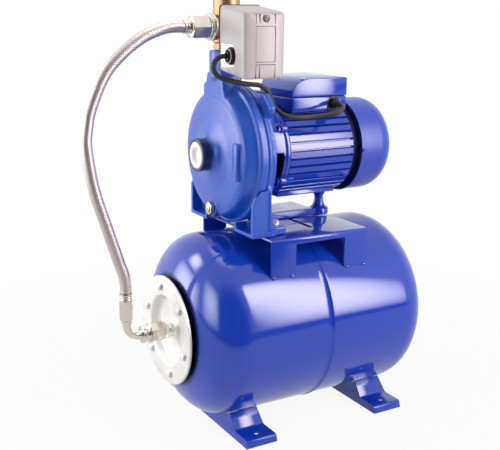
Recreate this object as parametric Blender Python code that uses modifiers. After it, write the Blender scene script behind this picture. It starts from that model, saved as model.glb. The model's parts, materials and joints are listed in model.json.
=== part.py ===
"""Booster pump set: a centrifugal pump and motor on a horizontal membrane tank, with hose and pressure switch.

Metres, +Z up. The tank lies along X, its flange end at -X. The set's front faces -Y.
The origin is on the floor, under the middle of the set's footprint box.
"""
import math

import bmesh
import bpy
from mathutils import Matrix, Vector

# Clearances
GAP = 0.0003
RUN = 0.0004

# Place of the tank's middle along X, so that the footprint is centred on the origin
SET_X = 0.0285

# Tank
TANK_R = 0.135
TANK_HALF = 0.1317
DOME_DEPTH = 0.0706
DOME_POWER = 2.2
TANK_Z = TANK_R + 0.0131
TANK_WALL = 0.002
BEAD_R = 0.0015
BEAD_HALF = 0.003
NECK_SHARE = 0.52593
NECK_OUT_R = TANK_R * NECK_SHARE
NECK_IN_R = NECK_OUT_R - 0.0148
NECK_FACE_X = -(TANK_HALF + DOME_DEPTH - 0.0041)
NECK_BACK_X = NECK_FACE_X + 0.0122
LIP_R = NECK_IN_R + 0.0021
LIP_DEPTH = 0.0035
BAG_WALL = 0.0025
BAG_R = TANK_R - 0.023
BAG_END_X = TANK_HALF + 0.0183

# Tank flange
FLANGE_X = NECK_FACE_X - 0.0048
FLANGE_R = NECK_OUT_R + 0.0084
FLANGE_T = 0.0045
DISH_R = NECK_IN_R - 0.0052
DISH_DEPTH = 0.017
DISH_WALL = 0.0018
BOSS_R = 0.0115
BOSS_LEN = 0.011
FLANGE_BOLT_R = NECK_OUT_R - 0.0072
FLANGE_BOLTS = 6
FLANGE_BOLT_LEN = 0.015
FLANGE_PHASE = math.radians(17.67)
M6_R = 0.003
M6_AF = 0.010
M6_HEAD = 0.004

# Air valve on the far dome
VALVE_R = 0.0042
VALVE_SEAT_R = 0.009
VALVE_OUT_X = TANK_HALF + DOME_DEPTH + 0.0102
VALVE_IN_X = VALVE_OUT_X - 0.0225
VALVE_CAP_R = 0.0085
VALVE_CAP_X = VALVE_OUT_X + 0.004
VALVE_CAP_WALL = 0.0015
VALVE_BORE_R = 0.0022
PIN_R = 0.0012

# Feet
FOOT_X = TANK_HALF - 0.0192
FOOT_W = 0.0502
FOOT_HALF = TANK_R - 0.010
FOOT_PAD_Z = 0.0115
FOOT_CREASE_Y = FOOT_HALF - 0.038
FOOT_RAMP_Y = FOOT_HALF - 0.059
FOOT_RAMP_Z = 0.033
FOOT_SHEET = 0.0025
FOOT_HOLE_Y = FOOT_HALF - 0.017
FOOT_HOLE_R = 0.00375

# Stand
STAND_X0 = -0.0878
STAND_X1 = 0.0758
CASE_R = 0.1006
STAND_HALF = CASE_R + 0.0024
STAND_Z = TANK_Z + TANK_R + 0.0069
STAND_SHEET = 0.003
STAND_BEND = 0.004
STAND_LEG = 0.040
STAND_SKIRT = 0.005
STAND_LOW_Z = TANK_Z + 0.020
SLOT_X = 0.005
SLOT_W = 0.007
SLOT_Y0 = 0.009
SLOT_Y1 = STAND_HALF - 0.030

# Water line from the tank to the pump
TUBE_R = 0.0060
NIPPLE_R = 0.0125
NIPPLE_X = NECK_FACE_X - 0.0095
NIPPLE_BORE = 0.005
UNION_X = NIPPLE_X - 0.0208
UNION_AF = 0.027
ELBOW_RING_X = UNION_X - 0.0115
ELBOW_X = ELBOW_RING_X - 0.0218
ELBOW_TOP = TANK_Z + 0.0261
ELBOW_BEND = 0.019
LOWER_NUT_Z = ELBOW_TOP + 0.0293
LOWER_NUT_AF = 0.0176
CRIMP_LEN = 0.010
CRIMP_R = 0.0093
HOSE_R = 0.008
HOSE_BORE = 0.0055

# Pump
PUMP_Y = 0.010
PORT_R = 0.0235
PORT_BORE = PORT_R - 0.0083
SUCTION_CAP_R = PORT_R - 0.0042
CAP_SEAT = 0.0035
PORT_FILLET_R = PORT_R + 0.005
FRONT_X = -0.1158
PORT_X = FRONT_X - 0.0312
PORT_FILLET_X = FRONT_X - 0.0112
CASE_RING_X = FRONT_X + 0.0172
FRONT_R = CASE_R - 0.0114
SHAFT_Z = STAND_Z + CASE_R + 0.0066
CASE_BACK_X = FRONT_X + 0.0298
CASE_WALL = 0.006
CHAMBER_R = CASE_R - 0.0176
EYE_X = FRONT_X - 0.0032
TOWER_X = CASE_BACK_X - 0.012
TOWER_DEPTH = 0.0235
DISCHARGE_R = 0.024
DISCHARGE_Z = SHAFT_Z + CASE_R + 0.0445
DISCHARGE_BASE_Z = DISCHARGE_Z - 0.0309
TOWER_ROOT = 0.0714
TOWER_HALF = 0.024
TOWER_SWEEP_R = 0.060
DISCHARGE_BORE = 0.0125
RIB_Y = -0.061
RIB_W = 0.013
RIB_H = 0.052
RIB_PROUD = 0.003
DRAIN_Z = SHAFT_Z - CASE_R + 0.0214
DRAIN_R = 0.0075
DRAIN_AF = 0.017
DRAIN_HEAD = 0.006

# Bracket between pump and motor
PLATE_R = CASE_R - 0.0021
PLATE_FRONT_X = CASE_BACK_X + GAP
PLATE_REAR_X = PLATE_FRONT_X + 0.0072
SPIGOT_R = CASE_R - 0.0126
BRACKET_FLANGE_X0 = PLATE_REAR_X + 0.0035
BRACKET_FLANGE_X1 = BRACKET_FLANGE_X0 + 0.009
EAR_R = CASE_R + 0.0139
EAR_W = 0.034
FOOT_OUT = CASE_R - 0.0106
FOOT_IN = FOOT_OUT - 0.043
FOOT_FLANGE_Z = STAND_Z + 0.012
FOOT_FRONT_X = CASE_BACK_X - 0.022
FOOT_REAR_X = BRACKET_FLANGE_X1 + 0.0155
FOOT_BOLT_X = FOOT_REAR_X - 0.0085
FOOT_BOLT_Y = FOOT_OUT - 0.020
FOOT_WEB = 0.006
FOOT_TOP_Z = STAND_Z + 0.060
M8_R = 0.004
M8_AF = 0.013
M8_HEAD = 0.0055
SEAL_R = 0.016

# Impeller
IMPELLER_R = CHAMBER_R - 0.021
IMPELLER_BACK_X = CASE_BACK_X - 0.0065
IMPELLER_DISC = 0.002
IMPELLER_BLADE = 0.008
IMPELLER_BLADES = 6
IMPELLER_HUB_R = 0.011

# Motor
SHAFT_R = 0.006
FIN_TIP_R = 0.0672
FIN_ROOT_R = FIN_TIP_R - 0.0067
FRAME_BORE = FIN_ROOT_R - 0.010
SHAFT_FRONT_X = IMPELLER_BACK_X - 0.014
BELL_R = FIN_TIP_R - 0.0017
BELL_X1 = BRACKET_FLANGE_X1 + 0.036
BELL_WALL = 0.005
WINDOW_DOWN = 0.0452
WINDOW_UP = 0.0043
WINDOW_LEN = 0.0162
FRAME_X1 = BELL_X1 + 0.110
FIN_COUNT = 36
FIN_SHARE = 0.58
PAD_HALF_ANGLE = math.radians(28)
STATOR_BORE = FRAME_BORE - 0.0167
STATOR_X0 = BELL_X1 + 0.012
STATOR_X1 = FRAME_X1 - 0.028
ROTOR_CORE_R = STATOR_BORE - 0.0006
BEARING_R = 0.0160
BEARING_BORE = SHAFT_R + GAP
BEARING_W = 0.011
BEARING_FRONT_X = BELL_X1 - 0.018
BEARING_REAR_X = FRAME_X1
SHIELD_R = FIN_TIP_R - 0.0052
COVER_R = FIN_TIP_R + 0.0042
COVER_WALL = 0.0016
COVER_X0 = FRAME_X1 + 0.013
SHIELD_X1 = COVER_X0 + 0.0055
COVER_X1 = COVER_X0 + 0.067
COVER_ROUND = 0.030
FAN_X = SHIELD_X1 + 0.005
FAN_R = COVER_R - 0.0154
SHAFT_REAR_X = FAN_X + 0.013
FAN_DISC = 0.0025
FAN_BLADE = 0.009
FAN_BLADES = 8
BLADE_PHASE = 0.07

# Terminal box
BOX_X0 = BELL_X1 + 0.008
BOX_X1 = FRAME_X1 - 0.0072
BOX_HALF = 0.055
BOX_Z0 = SHAFT_Z + FIN_ROOT_R - 0.0012
BOX_SEAM_Z = BOX_Z0 + 0.021
BOX_Z1 = BOX_SEAM_Z + 0.0262
BOX_WALL = 0.0025
BOX_SLOPE_X = 0.034
BOX_SLOPE_Z = 0.0165
GLAND_X = BOX_X1 - 0.0238
GLAND_Z = BOX_Z0 + 0.010
GLAND_R = 0.0072
GLAND_OUT = 0.011
CAPACITOR_R = 0.0125
CAPACITOR_X0 = BOX_X0 + 0.018
CAPACITOR_X1 = BOX_X1 - 0.0148

# Motor support
BAR_X0 = FOOT_REAR_X + 0.001
BAR_X1 = FRAME_X1 - 0.0135
BAR_HALF = 0.009
BAR_TOP = STAND_Z + 0.0105
POST_X = FRAME_X1 - 0.0135
POST_HUB_R = 0.015
POST_NECK_R = 0.0065
POST_HEAD_R = 0.012

# Fittings over the discharge
FIVE_LOW_R = 0.0166
FIVE_LOW_Z = DISCHARGE_Z + 0.0097
FIVE_R = 0.0195
FIVE_TOP_Z = DISCHARGE_Z + 0.0497
FIVE_OUT_R = 0.0186
FIVE_END_Z = FIVE_TOP_Z + 0.020
FIVE_BORE = 0.0148
FIVE_BORE_DEPTH = 0.018
FIVE_WAY_R = 0.0075
SPIGOT_DEPTH = 0.010
HOSE_PORT_Z = DISCHARGE_Z + 0.0317
COLLAR_R = 0.0186
COLLAR_X = TOWER_X - 0.031
COLLAR_IN_X = COLLAR_X + 0.0104
UPPER_NUT_X = COLLAR_X - 0.026
UPPER_NUT_AF = 0.029
SMALL_PORT_Z = DISCHARGE_Z + 0.0237

# Gauge
GAUGE_STEM_R = 0.0065
GAUGE_BACK_X = TOWER_X + 0.032
GAUGE_FACE_X = GAUGE_BACK_X + 0.024
GAUGE_R = 0.025
GAUGE_WALL = 0.0015
POINTER_HUB_R = 0.0025
DIAL_SINK = 0.008

# Pressure switch
SWITCH_X = TOWER_X
SWITCH_Z = SMALL_PORT_Z - 0.0127
SWITCH_W = 0.0622
SWITCH_H = 0.0808
SWITCH_WALL = 0.0022
SWITCH_BASE_T = 0.004
CAP_R = 0.0235
CAP_Y0 = PUMP_Y - 0.0345
CAP_Y1 = CAP_Y0 + 0.009
SWITCH_FRONT_Y = CAP_Y0 - 0.0725
NECK_AF = 0.020
LABEL_W = 0.030
LABEL_H = 0.046
LABEL_DEPTH = 0.0008
NOTCH_R = 0.0175
NOTCH_Y = SWITCH_FRONT_Y + 0.0405
NOTCH_Z = SWITCH_Z - 0.0155
GROMMET_R = NOTCH_R - 0.0057
GROMMET_OUT = 0.008
PLUNGER_R = 0.004
LEVER_T = 0.002
LEVER_GAP = 0.0008
LEVER_ARM = 0.030
LEVER_PIN_R = 0.0016
SPRING_R = 0.0075
SPRING_RISE = 0.016
SPRING_GAP = 0.0009
SPRING_LEN = 0.026
STUD_R = 0.0022
LEAD_R = 0.0034

# Reach of a cutter that passes right through, and how far one passes a surface
REACH = 0.3
PAST = 0.010

# Facets around
FINE = 32
ROUND = 20
SMALL = 14

# Route of the hose in the tank's frame: straight up, a slack bow, straight into the upper nut
HOSE_ROUTE = (
    (-0.2618, 0.000, 0.2141),
    (-0.2618, 0.000, 0.2215),
    (-0.2625, 0.000, 0.2305),
    (-0.2644, 0.000, 0.2405),
    (-0.2704, 0.001, 0.2595),
    (-0.2850, 0.002, 0.3070),
    (-0.3015, 0.004, 0.3640),
    (-0.3090, 0.006, 0.4180),
    (-0.3065, 0.008, 0.4440),
    (-0.2997, 0.009, 0.4710),
    (-0.2798, 0.010, 0.5120),
    (-0.2550, 0.010, 0.5390),
    (-0.2255, 0.010, 0.5600),
    (-0.1985, 0.010, 0.5708),
    (-0.1810, 0.010, 0.5740),
    (-0.1656, 0.010, 0.5740),
)

# Route of the black lead from the switch to the terminal box, in the tank's frame
LEAD_ROUTE = (
    (-0.1374, -0.0565, 0.5378),
    (-0.1394, -0.0565, 0.5378),
    (-0.1448, -0.0564, 0.5367),
    (-0.1494, -0.0563, 0.5336),
    (-0.1525, -0.0561, 0.5290),
    (-0.1536, -0.0560, 0.5236),
    (-0.1525, -0.0561, 0.5182),
    (-0.1494, -0.0566, 0.5137),
    (-0.1448, -0.0575, 0.5106),
    (-0.1394, -0.0585, 0.5085),
    (-0.1250, -0.0600, 0.5045),
    (-0.1060, -0.0590, 0.5008),
    (-0.0880, -0.0480, 0.4985),
    (-0.0720, -0.0400, 0.4960),
    (-0.0590, -0.0380, 0.4880),
    (-0.0545, -0.0410, 0.4760),
    (-0.0510, -0.0480, 0.4640),
    (-0.0410, -0.0585, 0.4545),
    (-0.0250, -0.0640, 0.4520),
    (-0.0030, -0.0660, 0.4520),
    (0.0200, -0.0725, 0.4540),
    (0.0330, -0.0775, 0.4570),
    (0.0420, -0.0765, 0.4610),
    (0.0475, -0.0705, 0.4645),
    (0.0490, -0.0630, 0.4662),
    (0.0490, -0.0563, 0.4665),
)

FINISHES = {
    "gloss_blue": ((0.012, 0.035, 0.50), 0.25, 0.0),
    "cast_blue": ((0.015, 0.050, 0.45), 0.40, 0.0),
    "zinc": ((0.80, 0.82, 0.84), 0.35, 1.0),
    "nickel": ((0.70, 0.66, 0.60), 0.25, 1.0),
    "steel": ((0.55, 0.55, 0.56), 0.30, 1.0),
    "braid": ((0.62, 0.60, 0.57), 0.35, 1.0),
    "brass": ((0.72, 0.48, 0.20), 0.30, 1.0),
    "copper": ((0.60, 0.25, 0.12), 0.35, 1.0),
    "black": ((0.015, 0.015, 0.016), 0.50, 0.0),
    "rubber": ((0.02, 0.02, 0.02), 0.70, 0.0),
    "white": ((0.80, 0.80, 0.80), 0.40, 0.0),
    "grey_cover": ((0.42, 0.40, 0.38), 0.45, 0.0),
    "grey_dial": ((0.85, 0.85, 0.83), 0.60, 0.0),
}

AXIS_TURN = {
    "x": Matrix.Rotation(math.pi / 2, 4, "Y"),
    "y": Matrix.Rotation(-math.pi / 2, 4, "X"),
    "z": Matrix.Identity(4),
}

# Columns are where a flat outline's own x, y and thickness point
PLANE_TURN = {
    "xy": Matrix(((1, 0, 0, 0), (0, 1, 0, 0), (0, 0, 1, 0), (0, 0, 0, 1))),
    "yz": Matrix(((0, 0, 1, 0), (1, 0, 0, 0), (0, 1, 0, 0), (0, 0, 0, 1))),
    "xz": Matrix(((1, 0, 0, 0), (0, 0, -1, 0), (0, 1, 0, 0), (0, 0, 0, 1))),
}


def clear_scene():
    for obj in list(bpy.data.objects):
        bpy.data.objects.remove(obj, do_unlink=True)


def new_collection(name):
    collection = bpy.data.collections.new(name)
    bpy.context.scene.collection.children.link(collection)
    return collection


def make_finish(name):
    """One Principled material for each finish."""
    if name in bpy.data.materials:
        return bpy.data.materials[name]
    color, roughness, metallic = FINISHES[name]
    material = bpy.data.materials.new(name)
    material.use_nodes = True
    shader = material.node_tree.nodes["Principled BSDF"]
    shader.inputs["Base Color"].default_value = (*color, 1.0)
    shader.inputs["Roughness"].default_value = roughness
    shader.inputs["Metallic"].default_value = metallic
    material.diffuse_color = (*color, 1.0)
    return material


clear_scene()
PARTS = new_collection("booster_pump_set")
CUTTERS = new_collection("cutters")
FRAME = bpy.data.objects.new("set_frame", None)
FRAME.location = (SET_X, 0.0, 0.0)
PARTS.objects.link(FRAME)


def axis_empty(name, place):
    """An empty on a moving body's joint axis, in the tank's frame."""
    empty = bpy.data.objects.new(name, None)
    empty.parent = FRAME
    empty.location = place
    PARTS.objects.link(empty)
    return empty


def enter(obj, finish=None, pivot=None):
    """Puts an object in the model: a part if it has a finish, otherwise a cutter."""
    obj.parent = FRAME
    if pivot is not None:
        obj.parent = pivot
        obj.matrix_parent_inverse = Matrix.Translation(-Vector(pivot.location))
    if finish:
        PARTS.objects.link(obj)
        obj.data.materials.clear()
        obj.data.materials.append(make_finish(finish))
    else:
        CUTTERS.objects.link(obj)
        obj.hide_render = True
        obj.display_type = "WIRE"
    return obj


def mesh_object(name, shape, finish, pivot=None, turn=None, place=(0, 0, 0), smooth=None):
    mesh = bpy.data.meshes.new(name)
    shape.to_mesh(mesh)
    shape.free()
    if turn is not None:
        mesh.transform(turn)
    if smooth is not None:
        mesh.shade_smooth()
        mesh.set_sharp_from_angle(angle=smooth)
    obj = bpy.data.objects.new(name, mesh)
    obj.location = place
    return enter(obj, finish, pivot)


def box(name, low, high, finish=None, pivot=None, bevel=0.0):
    """A block between two corners, with an optional rounded edge."""
    size = [b - a for a, b in zip(low, high)]
    middle = [(a + b) / 2 for a, b in zip(low, high)]
    shape = bmesh.new()
    bmesh.ops.create_cube(shape, size=1.0)
    bmesh.ops.scale(shape, vec=size, verts=shape.verts)
    obj = mesh_object(name, shape, finish, pivot, place=middle)
    if bevel:
        round_edges(obj, bevel, 2)
    return obj


def round_edges(obj, width, segments, angle=math.radians(40)):
    bevel = obj.modifiers.new("edges", "BEVEL")
    bevel.width = width
    bevel.segments = segments
    bevel.limit_method = "ANGLE"
    bevel.angle_limit = angle


def rod(name, axis, start, end, radius, across=(0, 0), finish=None, pivot=None, steps=SMALL):
    """A cylinder or cone along an axis, from start to end, at the two other coordinates."""
    shape = bmesh.new()
    bmesh.ops.create_cone(
        shape, cap_ends=True, segments=steps, radius1=radius, radius2=radius, depth=end - start
    )
    middle = (start + end) / 2
    place = {
        "x": (middle, across[0], across[1]),
        "y": (across[0], middle, across[1]),
        "z": (across[0], across[1], middle),
    }[axis]
    return mesh_object(name, shape, finish, pivot, AXIS_TURN[axis], place, math.radians(40))


def turned(name, profile, axis="x", across=(0, 0), finish=None, pivot=None, steps=FINE):
    """A turned solid. The profile holds (place along the axis, radius) pairs of one closed outline."""
    shape = bmesh.new()
    verts = [shape.verts.new((radius, 0.0, along)) for along, radius in profile]
    for first, second in zip(verts, verts[1:] + verts[:1]):
        if first.co.x > 1e-7 or second.co.x > 1e-7:
            shape.edges.new((first, second))
    outline = bpy.data.meshes.new(name + "_outline")
    shape.to_mesh(outline)
    shape.free()
    guide = bpy.data.objects.new(name + "_outline", outline)
    CUTTERS.objects.link(guide)
    screw = guide.modifiers.new("turn", "SCREW")
    screw.axis = "Z"
    screw.angle = 2 * math.pi
    screw.steps = steps
    screw.render_steps = steps
    screw.use_merge_vertices = True
    screw.merge_threshold = 0.00001
    mesh = settled_mesh(guide)
    bpy.data.objects.remove(guide, do_unlink=True)
    mesh.name = name
    mesh.transform(AXIS_TURN[axis])
    mesh.shade_smooth()
    mesh.set_sharp_from_angle(angle=math.radians(40))
    obj = bpy.data.objects.new(name, mesh)
    obj.location = {
        "x": (0.0, across[0], across[1]),
        "y": (across[0], 0.0, across[1]),
        "z": (across[0], across[1], 0.0),
    }[axis]
    return enter(obj, finish, pivot)


def settled_mesh(obj):
    """The object's evaluated mesh, its seams welded and its faces pointing out."""
    graph = bpy.context.evaluated_depsgraph_get()
    graph.update()
    mesh = bpy.data.meshes.new_from_object(obj.evaluated_get(graph))
    shape = bmesh.new()
    shape.from_mesh(mesh)
    bmesh.ops.remove_doubles(shape, verts=shape.verts, dist=0.000005)
    bmesh.ops.recalc_face_normals(shape, faces=shape.faces)
    shape.to_mesh(mesh)
    shape.free()
    return mesh


def slab(name, outlines, plane, start, end, finish=None, pivot=None):
    """A flat outline, with holes as further outlines, extruded from start to end."""
    curve = bpy.data.curves.new(name, "CURVE")
    curve.dimensions = "2D"
    curve.fill_mode = "BOTH"
    curve.extrude = (end - start) / 2
    for outline in outlines:
        spline = curve.splines.new("POLY")
        spline.points.add(len(outline) - 1)
        for point, (across, up) in zip(spline.points, outline):
            point.co = (across, up, 0.0, 1.0)
        spline.use_cyclic_u = True
    guide = bpy.data.objects.new(name + "_outline", curve)
    CUTTERS.objects.link(guide)
    mesh = settled_mesh(guide)
    bpy.data.objects.remove(guide, do_unlink=True)
    mesh.name = name
    depth_axis = PLANE_TURN[plane].col[2].to_3d()
    mesh.transform(PLANE_TURN[plane])
    obj = bpy.data.objects.new(name, mesh)
    sign = -1.0 if plane == "xz" else 1.0
    obj.location = depth_axis * sign * (start + end) / 2
    return enter(obj, finish, pivot)


def tube(name, route, radius, finish, resolution=2, pivot=None):
    """A round wire or pipe along a route, with closed ends."""
    curve = bpy.data.curves.new(name, "CURVE")
    curve.dimensions = "3D"
    curve.bevel_depth = radius
    curve.bevel_resolution = resolution
    curve.use_fill_caps = True
    spline = curve.splines.new("POLY")
    spline.points.add(len(route) - 1)
    for point, place in zip(spline.points, route):
        point.co = (*place, 1.0)
    guide = bpy.data.objects.new(name + "_guide", curve)
    CUTTERS.objects.link(guide)
    mesh = settled_mesh(guide)
    bpy.data.objects.remove(guide, do_unlink=True)
    mesh.shade_smooth()
    mesh.set_sharp_from_angle(angle=math.radians(50))
    mesh.name = name
    return enter(bpy.data.objects.new(name, mesh), finish, pivot)


def boolean(target, tools, operation):
    for tool in tools:
        step = target.modifiers.new(operation.lower(), "BOOLEAN")
        step.operation = operation
        step.object = tool
    return target


def cut(target, *tools):
    return boolean(target, tools, "DIFFERENCE")


def weld(target, *tools):
    return boolean(target, tools, "UNION")


def circle(radius, count=SMALL, middle=(0, 0), phase=0.0):
    step = 2 * math.pi / count
    return [
        (middle[0] + radius * math.cos(phase + i * step), middle[1] + radius * math.sin(phase + i * step))
        for i in range(count)
    ]


def arc(middle, radius, start, end, count):
    """Points from one angle to another, in degrees."""
    points = []
    for i in range(count + 1):
        angle = math.radians(start + (end - start) * i / count)
        points.append((middle[0] + radius * math.cos(angle), middle[1] + radius * math.sin(angle)))
    return points


def hexagon(across_flats, middle=(0, 0), phase=math.pi / 6):
    return circle(across_flats / math.sqrt(3), 6, middle, phase)


def nut(name, axis, start, end, across_flats, bore, across, finish, phase=math.pi / 6):
    """A hexagon nut along an axis, with a round bore."""
    plane = {"x": "yz", "y": "xz", "z": "xy"}[axis]
    outer = hexagon(across_flats, across, phase)
    return slab(name, [outer, circle(bore, SMALL, across)], plane, start, end, finish)


def smooth_route(points, spacing):
    """Points at an even spacing on one smooth curve through the route's own points."""
    anchors = [Vector(p) for p in points]
    anchors = [2 * anchors[0] - anchors[1]] + anchors + [2 * anchors[-1] - anchors[-2]]
    fine = []
    steps = 24
    for i in range(1, len(anchors) - 2):
        p0, p1, p2, p3 = anchors[i - 1:i + 3]
        for k in range(steps):
            t = k / steps
            fine.append(
                0.5 * (2 * p1 + (p2 - p0) * t + (2 * p0 - 5 * p1 + 4 * p2 - p3) * t**2
                       + (3 * p1 - p0 - 3 * p2 + p3) * t**3)
            )
    fine.append(anchors[-2])
    lengths = [0.0]
    for a, b in zip(fine, fine[1:]):
        lengths.append(lengths[-1] + (b - a).length)
    count = max(2, round(lengths[-1] / spacing))
    result = []
    k = 0
    for i in range(count + 1):
        want = lengths[-1] * i / count
        while k < len(lengths) - 2 and lengths[k + 1] < want:
            k += 1
        share = (want - lengths[k]) / (lengths[k + 1] - lengths[k])
        result.append(fine[k].lerp(fine[k + 1], share))
    return result


def carried_route(route, start, end):
    """A route whose points move with its two ends."""
    lead = start - Vector(route[0])
    tail = end - Vector(route[-1])
    last = len(route) - 1
    return [Vector(point) + lead.lerp(tail, i / last) for i, point in enumerate(route)]


def dome_point(turn, inset=0.0):
    """A point on the dome, from the cylinder (turn 0) to the pole (turn 1), as (x, radius)."""
    angle = turn * math.pi / 2
    power = 2 / DOME_POWER
    along = TANK_HALF + (DOME_DEPTH - inset) * math.sin(angle) ** power
    return along, (TANK_R - inset) * max(math.cos(angle), 0.0) ** power


def dome_turn(radius, inset=0.0):
    """The turn at which the dome has a given radius."""
    return math.acos((radius / (TANK_R - inset)) ** (DOME_POWER / 2)) * 2 / math.pi


def dome_run(radius, count, inset=0.0):
    last = dome_turn(radius, inset)
    return [dome_point(last * i / count, inset) for i in range(count + 1)]


def tank_body(name, radius):
    """The tank's cylinder, to cut saddles and legs to it."""
    return rod(name, "x", -TANK_HALF - FOOT_W, TANK_HALF + FOOT_W, radius, (0, TANK_Z), steps=72)


def make_tank():
    outer = [(-x, r) for x, r in dome_run(NECK_OUT_R, 8)]
    inner = [(-x, r) for x, r in dome_run(NECK_OUT_R + TANK_WALL, 5, TANK_WALL)]
    bead = [(-BEAD_HALF, TANK_R), (-BEAD_HALF * 0.6, TANK_R + BEAD_R * 0.75), (-GAP / 2, TANK_R + BEAD_R)]
    profile = bead[::-1] + outer
    profile += [
        (NECK_FACE_X, NECK_OUT_R),
        (NECK_FACE_X, LIP_R),
        (NECK_FACE_X + LIP_DEPTH, LIP_R),
        (NECK_FACE_X + LIP_DEPTH, NECK_IN_R),
        (NECK_BACK_X, NECK_IN_R),
        (NECK_BACK_X, NECK_OUT_R + TANK_WALL),
    ]
    profile += inner[::-1] + [(-GAP / 2, TANK_R - TANK_WALL)]
    shell = turned("tank_front_shell", profile, across=(0, TANK_Z), finish="gloss_blue")
    cut(shell, *[
        rod("neck_hole_%d" % i, "x", NECK_FACE_X - 0.001, FLANGE_X + FLANGE_BOLT_LEN + GAP, M6_R + GAP, place,
            steps=12)
        for i, place in enumerate(flange_bolt_places())
    ])
    outer = dome_run(VALVE_SEAT_R, 10)
    inner = dome_run(VALVE_SEAT_R, 6, TANK_WALL)
    hole = VALVE_R + GAP
    seat = outer[-1][0] + 0.002
    profile = [(GAP / 2, TANK_R)] + outer + [(seat, VALVE_SEAT_R), (seat, hole), (inner[-1][0], hole)]
    profile += inner[::-1] + [(GAP / 2, TANK_R - TANK_WALL)]
    turned("tank_rear_shell", profile, across=(0, TANK_Z), finish="gloss_blue")
    make_bladder()
    make_air_valve(seat)


def make_bladder():
    """The rubber bag: a lip in the neck's groove, a short throat, and a long round body."""
    outer_lip = LIP_R - GAP
    throat = NECK_IN_R - GAP
    x_face = NECK_FACE_X + GAP / 2
    groove = NECK_FACE_X + LIP_DEPTH - GAP
    body_x = NECK_BACK_X + 0.004
    middle = (body_x + BAG_END_X) / 2
    half = (BAG_END_X - body_x) / 2

    def body(inset):
        run = []
        for i in range(9):
            angle = math.radians(-68 + 158 * i / 8)
            radius = (BAG_R - inset) * max(math.cos(angle), 0.0) ** 0.7
            run.append((middle + (half - inset) * math.sin(angle), radius))
        return run

    outer = body(0.0)
    inner = body(BAG_WALL)
    profile = [(x_face, outer_lip), (groove, outer_lip), (groove, throat), (body_x, throat)]
    profile += outer + inner[::-1]
    profile += [(body_x + BAG_WALL, throat - BAG_WALL), (x_face, throat - BAG_WALL)]
    turned("bladder", profile, across=(0, TANK_Z), finish="rubber", steps=ROUND + 4)


def make_air_valve(seat):
    across = (0, TANK_Z)
    flange = seat + GAP
    turned("air_valve_stem", [
        (VALVE_IN_X, VALVE_R), (flange, VALVE_R), (flange, VALVE_R + 0.002), (flange + 0.0015, VALVE_R + 0.002),
        (flange + 0.0015, VALVE_R - 0.0005), (VALVE_OUT_X, VALVE_R - 0.0005), (VALVE_OUT_X, VALVE_BORE_R),
        (VALVE_IN_X, VALVE_BORE_R),
    ], across=across, finish="brass", steps=SMALL)
    pivot = axis_empty("air_valve_pin_axis", (VALVE_OUT_X, 0, TANK_Z))
    core = VALVE_BORE_R - GAP
    head = VALVE_OUT_X - 0.001
    turned("air_valve_pin", [
        (VALVE_IN_X + 0.003, 0), (VALVE_IN_X + 0.003, core), (VALVE_IN_X + 0.006, core),
        (VALVE_IN_X + 0.006, PIN_R), (head, PIN_R), (head, 0),
    ], across=across, finish="brass", pivot=pivot, steps=12)
    inside = VALVE_R - 0.0005 + GAP
    turned("air_valve_cap", [
        (flange + 0.0018, inside), (flange + 0.0018, VALVE_CAP_R), (VALVE_CAP_X - 0.001, VALVE_CAP_R),
        (VALVE_CAP_X, VALVE_CAP_R - 0.001), (VALVE_CAP_X, 0), (VALVE_CAP_X - VALVE_CAP_WALL, 0),
        (VALVE_CAP_X - VALVE_CAP_WALL, inside),
    ], across=across, finish="black", steps=ROUND)


def flange_bolt_places():
    places = []
    for i in range(FLANGE_BOLTS):
        angle = FLANGE_PHASE + i * 2 * math.pi / FLANGE_BOLTS
        places.append((-FLANGE_BOLT_R * math.cos(angle), TANK_Z + FLANGE_BOLT_R * math.sin(angle)))
    return places


def make_flange():
    back = NECK_FACE_X - GAP
    front = back - FLANGE_T
    floor = front + DISH_DEPTH
    thread = NIPPLE_BORE + 0.004
    profile = [
        (front, FLANGE_R - 0.0008), (front + 0.0008, FLANGE_R), (back, FLANGE_R), (back, DISH_R + DISH_WALL),
        (floor, DISH_R - 0.004 + DISH_WALL), (floor + DISH_WALL, DISH_R - 0.006 + DISH_WALL),
        (floor + DISH_WALL, NIPPLE_BORE),
        (floor, NIPPLE_BORE), (floor, thread), (floor - BOSS_LEN, thread), (floor - BOSS_LEN, BOSS_R),
        (floor, BOSS_R), (floor, DISH_R - 0.006), (floor - 0.002, DISH_R - 0.004), (front + 0.002, DISH_R - 0.001),
        (front, DISH_R + 0.001),
    ]
    flange = turned("tank_flange", profile, across=(0, TANK_Z), finish="zinc")
    for i, place in enumerate(flange_bolt_places()):
        cut(flange, rod("flange_hole_%d" % i, "x", front - 0.002, back + 0.002, M6_R + GAP, place, steps=12))
        head = slab("bolt_head_%d" % i, [hexagon(M6_AF, place)], "yz", front - GAP - M6_HEAD, front - GAP)
        bolt = rod("flange_bolt_%d" % (i + 1), "x", front - GAP - M6_HEAD / 2, FLANGE_X + FLANGE_BOLT_LEN, M6_R,
                   place, "zinc", steps=12)
        weld(bolt, head)


def foot_outline(inset):
    """Side view of a foot: flat pad at the tip, a ramp, and a saddle top that the tank cuts."""
    half = FOOT_HALF - inset
    low = -0.001 if inset else 0.0
    crease = FOOT_CREASE_Y - inset * 0.4
    ramp = FOOT_RAMP_Y - inset * 0.8
    right = [
        (half, low), (half - 0.0012, FOOT_PAD_Z - 0.0015 - inset), (half - 0.004, FOOT_PAD_Z - inset),
        (crease + 0.006, FOOT_PAD_Z - inset), (crease, FOOT_PAD_Z + 0.0012 - inset),
        (crease - 0.005, FOOT_PAD_Z + 0.0045 - inset),
        (ramp, FOOT_RAMP_Z - inset), (ramp - 0.010, FOOT_RAMP_Z + 0.006 - inset),
    ]
    left = [(-y, z) for y, z in reversed(right)]
    return right + left


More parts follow.
